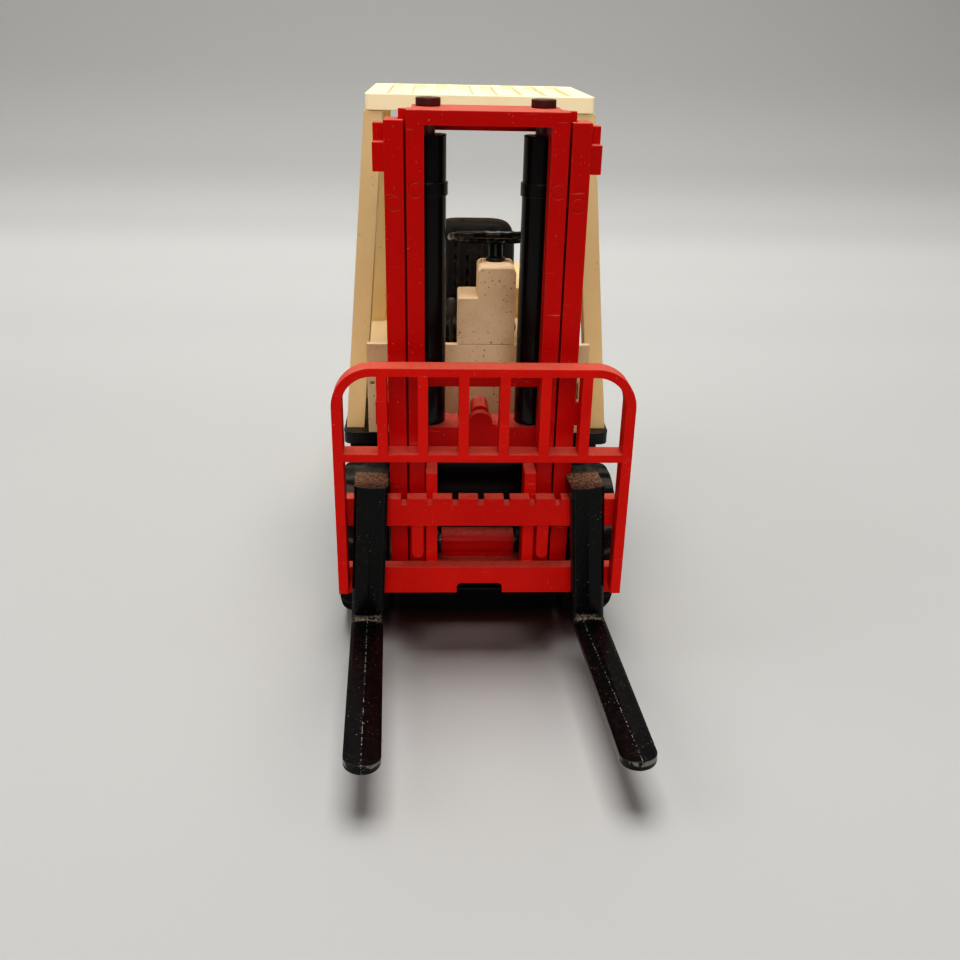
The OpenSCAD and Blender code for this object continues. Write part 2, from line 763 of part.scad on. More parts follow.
module outer_mast() {
    half_tube = ear_x - ear_gap;
    outer_tube_x = ear_x + ear_w + ear_gap;
    color(red) place() difference() {
        union() {
            // the two rails, each with its groove for the inner mast's tongue
            difference() {
                twin_box(outer_in_x, outer_x, 0, outer_rail_d, mast_foot_z, mast_h);
                twin_box(outer_in_x - 1, inner_x + tongue_t + slide_gap, tongue_y - slide_gap,
                    tongue_y + tongue_d + slide_gap, mast_foot_z - 1, mast_h + 1);
            }
            // the cross member that the lift cylinders stand on, and its raised boss
            box([-outer_x, cross_y, cross_z - cross_h], [outer_x, plate_back_y - 0.4, cross_z]);
            xz_plate(cross_y, cross_y + 1.6) union() {
                translate([0, cross_z + 0.5]) circle(1.9);
                translate([-2.6, cross_z - 1]) square([5.2, 1.5]);
            }
            xz_plate(cross_y + 1.6, plate_back_y - 0.4) translate([0, cross_z + 1.6]) circle(1.4);
            translate([-1.4, cross_y + 1.6, cross_z - 1]) cube([2.8, plate_back_y - cross_y - 2, 2.6]);
            // the pivot tube, split where the chassis ears reach in, on its flange
            for (x = [[-half_tube, half_tube], [outer_tube_x, outer_x], [-outer_x, -outer_tube_x]]) {
                x_rod(tube_r, x[0], x[1], pivot_y, pivot_z);
                box([x[0], pivot_y - 1, pivot_z - 3], [x[1], pivot_y + 1, pivot_z - 1]);
            }
            box([-outer_x, cross_y, pivot_z - 3.7], [outer_x, pivot_y + tube_r, pivot_z - 2.7]);
            twin_box(outer_in_x, outer_x, outer_rail_d - 1, pivot_y, pivot_z - 2.1, pivot_z + 2.1);
            // stop blocks near the top and the lugs of the tilt cylinders
            twin_box(outer_x - eps, outer_x + 1.6, 3, outer_rail_d, mast_h - 3, mast_h - 0.6);
            twin_box(outer_x - eps, outer_x + 1.6, 0.8, outer_rail_d, mast_h - 6.7, mast_h - 2.9);
            tilt_lug(1);
            tilt_lug(-1);
        }
        x_rod(pivot_d / 2 + run_gap, -outer_x - 1, outer_x + 1, pivot_y, pivot_z);
        // round moulding marks
        for (side = [-1, 1]) translate([side * (outer_in_x + outer_rail_w / 2), mark_depth, mast_h - 10.7])
            rotate([90, 0, 0]) ring_mark();
    }
}

module lift_cylinder(side) {
    bore_r = lift_rod_d / 2 + run_gap;
    color(black) place() translate([side * lift_x, lift_y, cross_z + seam]) difference() {
        union() {
            cylinder(h = lift_top_z - cross_z - seam, r = lift_r);
            translate([0, 0, collar_z - cross_z]) cylinder(h = collar_h, r = lift_r + collar_t);
        }
        translate([0, 0, lift_floor_t]) cylinder(h = lift_top_z, r = bore_r);
    }
}

module lift_cylinder_left() { lift_cylinder(1); }
module lift_cylinder_right() { lift_cylinder(-1); }

module inner_mast() {
    color(red) place() difference() {
        union() {
            twin_box(inner_in_x, inner_x, 0, inner_rail_d, mast_foot_z + 0.5, mast_top_z);
            twin_box(inner_x - eps, inner_x + tongue_t, tongue_y, tongue_y + tongue_d,
                mast_foot_z + 0.5, mast_top_z);
            // the crossbar, the plate behind it over the lift rods, and that plate's rear lip
            box([-inner_x, 0, mast_top_z - crossbar_h], [inner_x, inner_rail_d, mast_top_z]);
            box([-plate_half_w, inner_rail_d - 1, mast_top_z - crossbar_h],
                [plate_half_w, plate_back_y, mast_top_z]);
            box([-plate_half_w, plate_back_y - 0.6, mast_top_z - crossbar_h - 1.5],
                [plate_half_w, plate_back_y, mast_top_z]);
            // the lower members that tie the rails together behind the carriage
            box([-inner_x, mid_bar_y, mid_bar_z], [inner_x, mid_bar_y + mid_bar_t, mid_bar_z + mid_bar_h]);
            box([-inner_x, mid_bar_y, low_bar_z], [inner_x, inner_rail_d, low_bar_z + mid_bar_h]);
        }
        // the grooves that guide the carriage
        twin_box(inner_in_x - 1, inner_in_x + roller_t + slide_gap, roller_y - slide_gap,
            roller_y + roller_d + slide_gap, mast_foot_z - 1, mast_top_z - crossbar_h - 1);
        for (side = [-1, 1]) {
            translate([side * lift_x, lift_y, mast_top_z - 3])
                cylinder(h = 5, r = lift_rod_d / 2 + fixed_gap);
            translate([side * (inner_in_x + inner_rail_w / 2), mark_depth, mast_h - 8.9])
                rotate([90, 0, 0]) ring_mark();
        }
    }
}

module lift_rod(side) {
    low = cross_z + lift_floor_t + 0.7;
    color(steel) place() translate([side * lift_x, lift_y, 0]) {
        translate([0, 0, low]) cylinder(h = mast_top_z + 0.5 - low, d = lift_rod_d);
        translate([0, 0, mast_top_z + seam]) cylinder(h = cap_h - seam, r = cap_r);
    }
}

module lift_rod_left() { lift_rod(1); }
module lift_rod_right() { lift_rod(-1); }

// Sets a tilt cylinder's piece along the line from the floor bracket towards the mast's lug
module along_tilt(side) {
    place() translate([side * tilt_x, tilt_floor_y, tilt_floor_z]) rotate([-tilt_angle, 0, 0])
        rotate([90, 0, 0]) children();
}

module tilt_barrel(side) {
    color(black) along_tilt(side) {
        difference() {
            union() {
                translate([0, 0, 2]) cylinder(h = tilt_barrel_l - 2, r = tilt_barrel_r);
                cylinder(h = 2.1, r = 0.75);
                rotate([0, 90, 0]) translate([0, 0, -0.8]) cylinder(h = 1.6, r = 1.1);
            }
            translate([0, 0, 2.4]) cylinder(h = tilt_barrel_l, r = tilt_rod_r + run_gap);
        }
        rotate([0, 90, 0]) translate([0, 0, -1.7]) cylinder(h = 3.4, r = tilt_pin_r);
    }
}

module tilt_rod(side) {
    color(steel) along_tilt(side) difference() {
        union() {
            translate([0, 0, 5.5]) cylinder(h = tilt_l - 5.5 - tilt_pin_r, r = tilt_rod_r);
            translate([-tilt_eye_w / 2, 0, tilt_l])
                rotate([0, 90, 0]) cylinder(h = tilt_eye_w, r = tilt_eye_r);
        }
        translate([-2, 0, tilt_l]) rotate([0, 90, 0]) cylinder(h = 4, r = tilt_pin_r + tilt_open_gap);
        for (x = [tilt_eye_w / 2, -tilt_eye_w / 2 - 2])
            translate([x, -2, tilt_l - 3.2]) cube([2, 4, 6]);
    }
}

module tilt_barrel_left() { tilt_barrel(1); }
module tilt_barrel_right() { tilt_barrel(-1); }
module tilt_rod_left() { tilt_rod(1); }
module tilt_rod_right() { tilt_rod(-1); }

// ---- Carriage ----

module carriage() {
    half = bar_l / 2;
    upper_top_z = upper_bar_z + bar_h;
    lower_top_z = lower_bar_z + bar_h;
    color(red) place() union() {
        // the upper bar with its positioning notches
        difference() {
            box([-half, bar_front_y, upper_bar_z], [half, bar_back_y, upper_top_z]);
            for (i = [-4:4]) box([i * notch_pitch - notch_w / 2, bar_front_y - 1, upper_top_z - notch_depth],
                [i * notch_pitch + notch_w / 2, bar_back_y + 1, upper_top_z + 1]);
        }
        // the lower bar with its gap for taking the forks off
        difference() {
            box([-half, bar_front_y, lower_bar_z], [half, bar_back_y, lower_top_z]);
            xz_plate(bar_front_y - 1, bar_back_y + 1)
                round_rect([-3.6, lower_bar_z - 1], [3.6, lower_bar_z + 1.7], 0.8, [0, 0, 1, 1]);
        }
        // the side plates that run in the inner mast
        twin_box(plate_in_x, plate_out_x, bar_back_y - eps, carriage_plate_back_y, lower_bar_z, plate_top_z);
        twin_box(plate_out_x - eps, inner_in_x + roller_t, roller_y, roller_y + roller_d,
            lower_bar_z + 1.5, plate_top_z - 1);
        // round-ended guide pads under the upper bar
        for (side = [-1, 1]) translate([side * 9.75, 0, 0]) xz_plate(bar_front_y + 1, bar_back_y) union() {
            translate([-0.9, 19]) square([1.8, upper_bar_z - 19 + eps]);
            translate([0, 19]) circle(0.9);
        }
    }
}

module load_backrest() {
    half = rest_w / 2;
    inner_r = rest_corner_r - rest_post_w;
    post_x = [for (i = [-3:2]) (i + 0.5) * rest_pitch];
    edges = concat([-half], post_x, [half]);
    top_in_z = rest_top_z - rest_bar_h;
    color(red) place() xz_plate(rest_front_y, rest_back_y) difference() {
        round_rect([-half, rest_foot_z], [half, rest_top_z], rest_corner_r, [0, 0, 1, 1]);
        // the big opening below the second bar
        translate([-half + rest_post_w, rest_foot_z - 1])
            square([rest_w - 2 * rest_post_w, rest_bar_z - rest_bar_h - rest_foot_z + 1]);
        // the windows between the upright bars
        for (i = [0:len(edges) - 2]) {
            low_x = edges[i] + (i == 0 ? rest_post_w : rest_post_w / 2);
            high_x = edges[i + 1] - (i == len(edges) - 2 ? rest_post_w : rest_post_w / 2);
            round_rect([low_x, rest_bar_z], [high_x, top_in_z], inner_r,
                [0, 0, i == len(edges) - 2 ? 1 : 0, i == 0 ? 1 : 0]);
        }
    }
}

// One fork: a shank with a hook over the upper bar and one under the lower bar, and a flat blade.
// It hangs loose on the upper bar, so it leans and turns a little about its hook.
module fork(x, splay, turn) {
    half = fork_w / 2;
    top_z = blade_z + blade_t;
    hook_lip_y = bar_back_y + fork_play;
    hook_back_y = hook_lip_y + hook_t;
    hook_low_z = lower_bar_z - fork_play - 1.2;
    color(black) place() translate([x, bar_mid_y, bar_top_z]) rotate([0, splay, turn])
        translate([0, -bar_mid_y, -bar_top_z]) {
            // shank with a low ridge down its front
            translate([0, 0, blade_z]) linear_extrude(fork_top_z - blade_z) polygon([
                [-half, shank_back_y], [-half, shank_front_y + ridge + edge_cut],
                [-half + edge_cut, shank_front_y + ridge], [0, shank_front_y],
                [half - edge_cut, shank_front_y + ridge], [half, shank_front_y + ridge + edge_cut],
                [half, shank_back_y]]);
            // upper hook
            box([-half, shank_back_y - eps, bar_top_z + fork_play], [half, hook_back_y, fork_top_z]);
            box([-half, hook_lip_y, bar_top_z - 2.4], [half, hook_back_y, fork_top_z]);
            // lower hook
            box([-half, shank_back_y - eps, hook_low_z], [half, hook_lip_y + 0.5, lower_bar_z - fork_play]);
            box([-half, hook_lip_y, hook_low_z], [half, hook_lip_y + 0.5, lower_bar_z + 1.4]);
            // blade with the same ridge and a round tip
            intersection() {
                xz_plate(tip_y - 1, shank_back_y) polygon([
                    [-half, blade_z], [-half, top_z - ridge - edge_cut / 2],
                    [-half + edge_cut, top_z - ridge], [0, top_z], [half - edge_cut, top_z - ridge],
                    [half, top_z - ridge - edge_cut / 2], [half, blade_z]]);
                translate([0, 0, blade_z - 1]) linear_extrude(blade_t + 2) union() {
                    translate([-half, tip_y + half]) square([fork_w, shank_back_y - tip_y - half]);
                    translate([0, tip_y + half]) circle(half, $fn = 96);
                }
            }
        }
}

module fork_left() { fork(fork_left_x, -fork_left_splay, fork_left_turn); }
module fork_right() { fork(-fork_right_x, fork_right_splay, fork_right_turn); }

chassis_frame();
fender_step_left();
fender_step_right();
front_cowl();
instrument_console();
floor_plate();
engine_hood();
seat_base();
seat_cushion();
seat_back();
guard_roof();
guard_front_pillar_left();
guard_front_pillar_right();
guard_rear_pillar_left();
guard_rear_pillar_right();
counterweight();
rear_grille();
tow_pin();
steering_column();
steering_wheel();
lever_bracket();
lift_lever();
tilt_lever();
front_axle();
front_rim_left();
front_rim_right();
front_tyre_left();
front_tyre_right();
rear_axle_carrier();
rear_axle();
rear_rim_left();
rear_rim_right();
rear_tyre_left();
rear_tyre_right();
chassis_rivets();
mast_pivot_pin();
outer_mast();
lift_cylinder_left();
lift_cylinder_right();
inner_mast();
lift_rod_left();
lift_rod_right();
tilt_barrel_left();
tilt_barrel_right();
tilt_rod_left();
tilt_rod_right();
carriage();
load_backrest();
fork_left();
fork_right();
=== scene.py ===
# %% [markdown]
# # A toy forklift truck
# The truck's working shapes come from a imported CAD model: rails, bars, forks, chassis, axles.
# This notebook gives each of them the finish of the real toy and adds the pieces that a CAD
# kernel is clumsy with, such as lugged tyres and a channelled seat. Everything is in metres, in
# the model's own frame: +Z is up, the forks point to -Y, and the driver's left is +X.

# %% The frame
import json
import math

import bpy
import numpy as np
from mathutils import Matrix, Vector


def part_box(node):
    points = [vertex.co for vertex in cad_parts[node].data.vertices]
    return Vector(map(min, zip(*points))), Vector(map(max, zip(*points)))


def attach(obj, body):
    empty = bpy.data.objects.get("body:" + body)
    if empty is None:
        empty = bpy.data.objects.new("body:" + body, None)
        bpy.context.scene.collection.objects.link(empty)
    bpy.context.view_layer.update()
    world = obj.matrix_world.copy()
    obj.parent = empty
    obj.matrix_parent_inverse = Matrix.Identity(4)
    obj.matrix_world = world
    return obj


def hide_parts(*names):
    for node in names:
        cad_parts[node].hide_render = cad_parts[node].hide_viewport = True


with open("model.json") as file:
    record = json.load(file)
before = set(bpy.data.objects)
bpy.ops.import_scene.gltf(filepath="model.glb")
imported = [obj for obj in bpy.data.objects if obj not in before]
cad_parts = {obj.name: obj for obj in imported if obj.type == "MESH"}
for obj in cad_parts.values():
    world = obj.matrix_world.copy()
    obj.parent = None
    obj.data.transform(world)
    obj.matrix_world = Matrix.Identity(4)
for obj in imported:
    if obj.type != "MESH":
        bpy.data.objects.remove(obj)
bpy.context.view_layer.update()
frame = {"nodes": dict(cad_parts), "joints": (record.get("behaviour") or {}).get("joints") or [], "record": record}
nodes = frame["nodes"]
joints = {joint["name"]: joint for joint in frame["joints"]}
MM = 0.001
print("CAD nodes:", len(nodes), "joints:", len(joints))


# %% Where things are
def low(node):
    """The lowest corner of a CAD node's box, as an array."""
    return np.array(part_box(node)[0], float)


def high(node):
    """The highest corner of a CAD node's box, as an array."""
    return np.array(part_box(node)[1], float)


def middle(node):
    """The middle of a CAD node's box, as an array."""
    return (low(node) + high(node)) / 2


mast_y = low("outer_mast")[1]
print("front face of the mast at Y =", round(mast_y / MM, 2), "mm")

# %% [markdown]
# ## The camera
# The toy is seen from the front and from above, close enough for a strong perspective: the fork
# tips look much larger than the cab. The view is a slight turn to the truck's left, a clear tilt
# down and a trace of roll. The three angles are turned into a right, an up and a backward
# direction, and those are the columns of the camera's matrix.

# %% Camera
CAMERA_FROM_MAST = np.array([-6.76, -138.59, 93.88]) * MM
CAMERA_YAW, CAMERA_PITCH, CAMERA_ROLL = np.radians([2.752, 24.574, 1.246])
FOCAL_OVER_WIDTH = 984.3 / 960
SENSOR_WIDTH = 36.0


def camera_axes(yaw, pitch, roll):
    """Right, up and forward: forward is (sin yaw cos pitch, cos yaw cos pitch, -sin pitch), right
    is level, up completes them, and the roll turns right and up about forward."""
    forward = np.array([math.sin(yaw) * math.cos(pitch), math.cos(yaw) * math.cos(pitch),
                        -math.sin(pitch)])
    right = np.array([math.cos(yaw), -math.sin(yaw), 0.0])
    up = np.cross(right, forward)
    return (math.cos(roll) * right + math.sin(roll) * up,
            math.cos(roll) * up - math.sin(roll) * right, forward)


right, up, forward = camera_axes(CAMERA_YAW, CAMERA_PITCH, CAMERA_ROLL)
camera_data = bpy.data.cameras.new("front_view")
camera_data.sensor_width = SENSOR_WIDTH
camera_data.lens = SENSOR_WIDTH * FOCAL_OVER_WIDTH
camera_data.clip_start = 0.005
camera_data.clip_end = 20.0
camera = bpy.data.objects.new("front_view", camera_data)
bpy.context.scene.collection.objects.link(camera)
camera.matrix_world = Matrix([
    [right[0], up[0], -forward[0], CAMERA_FROM_MAST[0]],
    [right[1], up[1], -forward[1], CAMERA_FROM_MAST[1] + mast_y],
    [right[2], up[2], -forward[2], CAMERA_FROM_MAST[2]],
    [0.0, 0.0, 0.0, 1.0]])
bpy.context.scene.camera = camera
print("camera lens", round(camera_data.lens, 2), "mm")

# %% [markdown]
# ## Surfaces from arrays
# Every new piece is a grid of points: a function of two parameters gives all the points at once,
# and the quads between them are arithmetic on row and column numbers. A grid can close on itself
# along its rows, its columns or both, and a whole grid is turned round when its signed volume
# says that its faces point inwards.


# %% Grid helpers
def grid_quads(rows, cols, wrap_rows, wrap_cols):
    """Corner numbers of every quad: (row, col), (row, col + 1), (row + 1, col + 1), (row + 1, col),
    where the last row or column meets the first if that direction wraps."""
    row = np.arange(rows if wrap_rows else rows - 1)[:, None]
    col = np.arange(cols if wrap_cols else cols - 1)[None, :]
    next_row, next_col = (row + 1) % rows, (col + 1) % cols
    corners = [row * cols + col, row * cols + next_col,
               next_row * cols + next_col, next_row * cols + col]
    return np.stack(np.broadcast_arrays(*corners), -1).reshape(-1, 4)


def signed_volume(points, quads):
    """The volume inside closed quads: the sum of a . (b x c) / 6 over their two triangles."""
    a, b, c, d = (points[quads[:, i]] for i in range(4))
    first = np.einsum("ij,ij->i", a, np.cross(b, c))
    second = np.einsum("ij,ij->i", a, np.cross(c, d))
    return (first + second).sum() / 6


class Shape:
    """Points and faces of one piece, gathered from several grids."""

    def __init__(self):
        self.points, self.faces, self.count = [], [], 0

    def add(self, grid, wrap_rows=False, wrap_cols=True, cap=True):
        """Adds a grid of shape (rows, cols, 3). With cap, the open first and last rows are closed
        by one face each."""
        rows, cols, _ = grid.shape
        points = grid.reshape(-1, 3)
        quads = grid_quads(rows, cols, wrap_rows, wrap_cols)
        centre = points.mean(0)
        flip = signed_volume(points - centre, quads) < 0
        faces = [tuple(q) for q in (quads[:, ::-1] if flip else quads) + self.count]
        if cap and not wrap_rows:
            first = tuple(range(self.count, self.count + cols))
            last = tuple(range(self.count + (rows - 1) * cols, self.count + rows * cols))
            faces += [first if flip else first[::-1], last[::-1] if flip else last]
        self.points.append(points)
        self.faces += faces
        self.count += len(points)
        return self


def make_piece(name, shape, body, material, replaces=(), smooth_angle=40.0):
    """Turns a shape into an object that rides on a body, with its finish."""
    mesh = bpy.data.meshes.new(name)
    mesh.from_pydata(np.concatenate(shape.points).tolist(), [],
                     [tuple(int(i) for i in face) for face in shape.faces])
    mesh.validate()
    mesh.shade_smooth()
    mesh.set_sharp_from_angle(angle=math.radians(smooth_angle))
    mesh.materials.append(material)
    piece = bpy.data.objects.new(name, mesh)
    bpy.context.scene.collection.objects.link(piece)
    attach(piece, body)
    if replaces:
        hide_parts(*replaces)
    print(f"{name}: {len(mesh.vertices)} points, {len(mesh.polygons)} faces")
    return piece


SMALLEST_RADIUS = 1e-6


def lathe(profile, centre, axis=(0, 0, 1), count=48):
    """A surface of revolution: each profile pair (radius, height) becomes a ring about the axis
    through centre. Radii of zero are kept just open so that the ring stays a ring."""
    profile = np.asarray(profile, float)
    axis = np.asarray(axis, float) / np.linalg.norm(axis)
    side = np.cross(axis, [0.0, 0.0, 1.0] if abs(axis[2]) < 0.9 else [1.0, 0.0, 0.0])
    side /= np.linalg.norm(side)
    other = np.cross(axis, side)
    turn = np.linspace(0, 2 * math.pi, count, endpoint=False)
    ring = np.cos(turn)[:, None] * side + np.sin(turn)[:, None] * other
    radius = np.maximum(profile[:, 0], SMALLEST_RADIUS)
    return (np.asarray(centre, float) + radius[:, None, None] * ring[None]
            + profile[:, 1][:, None, None] * axis)


LONGEST_CUT = 0.48


def rounded_profile(corners, radius, steps=5):
    """An open polyline with each inner corner replaced by a short arc: a quadratic curve from one
    side of the corner to the other, a radius away from it, or nearly half a side if that is less."""
    corners = np.asarray(corners, float)
    out = [corners[0]]
    t = np.linspace(0, 1, steps)[:, None]
    for before, corner, after in zip(corners[:-2], corners[1:-1], corners[2:]):
        into, away = before - corner, after - corner
        r = min(radius, np.linalg.norm(into) * LONGEST_CUT, np.linalg.norm(away) * LONGEST_CUT)
        start = corner + into / np.linalg.norm(into) * r
        end = corner + away / np.linalg.norm(away) * r
        out += list((1 - t) ** 2 * start + 2 * t * (1 - t) * corner + t ** 2 * end)
    return np.array(out + [corners[-1]])


# %% [markdown]
# ## Shader groups
# A few effects come back in several finishes, so each is built once as a shader group: the
# softened edges of a moulded part, with an edge mask that the finishes use for a painted
# highlight, dust that settles on whatever faces up, small specks of dirt, the faint waviness of
# moulded plastic, and scratches. A material places them with its own values.


# %% Node helpers
def new_group(name, inputs, outputs):
    """An empty shader group with named inputs (name, type, value) and outputs (name, type)."""
    tree = bpy.data.node_groups.new(name, "ShaderNodeTree")
    for label, kind, value in inputs:
        tree.interface.new_socket(label, in_out="INPUT", socket_type=kind).default_value = value
    for label, kind in outputs:
        tree.interface.new_socket(label, in_out="OUTPUT", socket_type=kind)
    return tree, tree.nodes.new("NodeGroupInput"), tree.nodes.new("NodeGroupOutput")


def node(tree, kind, settings=None, **values):
    """A node with its properties from settings and its sockets from values: a value that is a
    socket is linked, anything else is set. A socket goes by its name, with underscores for spaces,
    or by i and its number."""
    made = tree.nodes.new("ShaderNode" + kind)
    for key, value in (settings or {}).items():
        setattr(made, key, value)
    for key, value in values.items():
        key = key.replace("_", " ")
        by_number = key[0] == "i" and key[1:].isdigit()
        socket = made.inputs[int(key[1:])] if by_number else made.inputs[key]
        if isinstance(value, bpy.types.NodeSocket):
            tree.links.new(value, socket)
        else:
            socket.default_value = value
    return made


def maths(tree, operation, a, b=0.0, clamp=False):
    """One Math node's result."""
    return node(tree, "Math", {"operation": operation, "use_clamp": clamp}, i0=a, i1=b).outputs[0]


def remap(tree, value, from_low, from_high, to_low=0.0, to_high=1.0):
    """A smooth remap of a value from one range to another, clamped."""
    return node(tree, "MapRange", {"interpolation_type": "SMOOTHSTEP"}, i0=value, i1=from_low,
                i2=from_high, i3=to_low, i4=to_high).outputs[0]


def mix_colour(tree, factor, a, b):
    """One colour mix: a where the factor is 0, b where it is 1."""
    made = tree.nodes.new("ShaderNodeMix")
    made.data_type = "RGBA"
    for socket, value in ((made.inputs[0], factor), (made.inputs[6], a), (made.inputs[7], b)):
        if isinstance(value, bpy.types.NodeSocket):
            tree.links.new(value, socket)
        else:
            socket.default_value = value
    return made.outputs[2]


def colour(r, g, b):
    """A display colour from 0 to 255 as the linear RGBA that shaders use."""
    c = np.array([r, g, b]) / 255.0
    linear = np.where(c <= 0.04045, c / 12.92, ((c + 0.055) / 1.055) ** 2.4)
    return tuple(linear) + (1.0,)


# %% Group: soft edges
FLOAT, VECTOR = "NodeSocketFloat", "NodeSocketVector"
edges_tree, gi, go = new_group(
    "soft_edges", [("Radius", FLOAT, 0.0003), ("Patch Scale", FLOAT, 900.0), ("Patch Cut", FLOAT, 0.45)],
    [("Normal", VECTOR), ("Edge", FLOAT), ("Wear", FLOAT)])
bevel = node(edges_tree, "Bevel", {"samples": 6}, Radius=gi.outputs["Radius"])
true_normal = node(edges_tree, "NewGeometry").outputs["True Normal"]
dot = node(edges_tree, "VectorMath", {"operation": "DOT_PRODUCT"},
           i0=bevel.outputs[0], i1=true_normal).outputs["Value"]
# The Edge output masks the softened edges; the finishes paint a highlight there.
edge = remap(edges_tree, maths(edges_tree, "SUBTRACT", 1.0, dot), 0.01, 0.16)
place = node(edges_tree, "TexCoord").outputs["Object"]
patches = node(edges_tree, "TexNoise", Vector=place, Scale=gi.outputs["Patch Scale"],
               Detail=4.0, Roughness=0.7)
patch = remap(edges_tree, patches.outputs["Fac"], gi.outputs["Patch Cut"],
              maths(edges_tree, "ADD", gi.outputs["Patch Cut"], 0.12))
edges_tree.links.new(bevel.outputs[0], go.inputs["Normal"])
edges_tree.links.new(edge, go.inputs["Edge"])
edges_tree.links.new(maths(edges_tree, "MULTIPLY", edge, patch), go.inputs["Wear"])

# %% Group: settled dust
dust_tree, gi, go = new_group(
    "settled_dust", [("Scale", FLOAT, 400.0), ("Cover", FLOAT, 0.5)], [("Dust", FLOAT)])
facing = node(dust_tree, "SeparateXYZ", i0=node(dust_tree, "NewGeometry").outputs["Normal"]).outputs["Z"]
upward = remap(dust_tree, facing, 0.45, 0.95)
place = node(dust_tree, "TexCoord").outputs["Object"]
cloud = node(dust_tree, "TexNoise", Vector=place, Scale=gi.outputs["Scale"],
             Detail=6.0, Roughness=0.72).outputs["Fac"]
cut = maths(dust_tree, "SUBTRACT", 0.75, maths(dust_tree, "MULTIPLY", gi.outputs["Cover"], 0.5))
spots = remap(dust_tree, cloud, maths(dust_tree, "SUBTRACT", cut, 0.18), maths(dust_tree, "ADD", cut, 0.12))
dust_tree.links.new(maths(dust_tree, "MULTIPLY", upward, spots), go.inputs["Dust"])

# %% Group: specks
specks_tree, gi, go = new_group(
    "specks", [("Scale", FLOAT, 900.0), ("Size", FLOAT, 0.16), ("Patch Scale", FLOAT, 120.0),
               ("Spread", FLOAT, 0.5)], [("Speck", FLOAT)])
place = node(specks_tree, "TexCoord").outputs["Object"]
wobble = node(specks_tree, "TexNoise", Vector=place, Scale=1500.0, Detail=2.0).outputs["Color"]
WOBBLE_REACH = 0.4 * MM
moved = node(specks_tree, "VectorMath", {"operation": "MULTIPLY_ADD"},
             i0=wobble, i1=(WOBBLE_REACH,) * 3, i2=place)
cells = node(specks_tree, "TexVoronoi", {"feature": "F1"}, Vector=moved.outputs[0],
             Scale=gi.outputs["Scale"])
size = maths(specks_tree, "MULTIPLY", gi.outputs["Size"],
             node(specks_tree, "SeparateXYZ", i0=cells.outputs["Color"]).outputs["X"])
spot = maths(specks_tree, "LESS_THAN", cells.outputs["Distance"], size)
areas = node(specks_tree, "TexNoise", Vector=place, Scale=gi.outputs["Patch Scale"],
             Detail=3.0).outputs["Fac"]
area_cut = maths(specks_tree, "SUBTRACT", 0.75,
                 maths(specks_tree, "MULTIPLY", gi.outputs["Spread"], 0.5))
where = remap(specks_tree, areas, area_cut, 0.8)
specks_tree.links.new(maths(specks_tree, "MULTIPLY", spot, where), go.inputs["Speck"])

# %% Group: moulded skin
skin_tree, gi, go = new_group(
    "moulded_skin", [("Wave Scale", FLOAT, 90.0), ("Grain Scale", FLOAT, 3000.0), ("Grain", FLOAT, 0.3)],
    [("Height", FLOAT), ("Cloud", FLOAT)])
place = node(skin_tree, "TexCoord").outputs["Object"]
wave = node(skin_tree, "TexNoise", Vector=place, Scale=gi.outputs["Wave Scale"], Detail=2.0).outputs["Fac"]
grain = node(skin_tree, "TexNoise", Vector=place, Scale=gi.outputs["Grain Scale"], Detail=3.0).outputs["Fac"]
height = maths(skin_tree, "ADD", wave, maths(skin_tree, "MULTIPLY", grain, gi.outputs["Grain"]))
cloud = node(skin_tree, "TexNoise", Vector=place, Scale=60.0, Detail=5.0, Roughness=0.6).outputs["Fac"]
skin_tree.links.new(height, go.inputs["Height"])
skin_tree.links.new(cloud, go.inputs["Cloud"])

# %% Group: scratches
scratch_tree, gi, go = new_group(
    "scratches", [("Scale", FLOAT, 60.0), ("Amount", FLOAT, 0.5)], [("Scratch", FLOAT)])
place = node(scratch_tree, "TexCoord").outputs["Object"]
SCRATCH_TURNS = ((0.35, 0.2, 1.1), (1.3, 0.9, 0.3))
STRETCH = (0.06, 1.0, 1.0)
lines = None
for turn in SCRATCH_TURNS:
    turned = node(scratch_tree, "Mapping", Vector=place, Rotation=turn, Scale=STRETCH)
    streak_scale = maths(scratch_tree, "MULTIPLY", gi.outputs["Scale"], 60.0)
    streak = node(scratch_tree, "TexNoise", Vector=turned.outputs[0], Scale=streak_scale,
                  Detail=1.0).outputs["Fac"]
    line_cut = maths(scratch_tree, "SUBTRACT", 0.86,
                     maths(scratch_tree, "MULTIPLY", gi.outputs["Amount"], 0.14))
    line = remap(scratch_tree, streak, line_cut, 0.88)
    lines = line if lines is None else maths(scratch_tree, "MAXIMUM", lines, line)
scratch_tree.links.new(lines, go.inputs["Scratch"])
print("shader groups:", [t.name for t in bpy.data.node_groups])


# %% A finish from its parts
EDGE_RADIUS, BUMP_HEIGHT = 0.25 * MM, 0.4 * MM
SPECK_STRENGTH, SCRATCH_STRENGTH, DUST_ROUGHNESS = 0.8, 0.6, 0.35


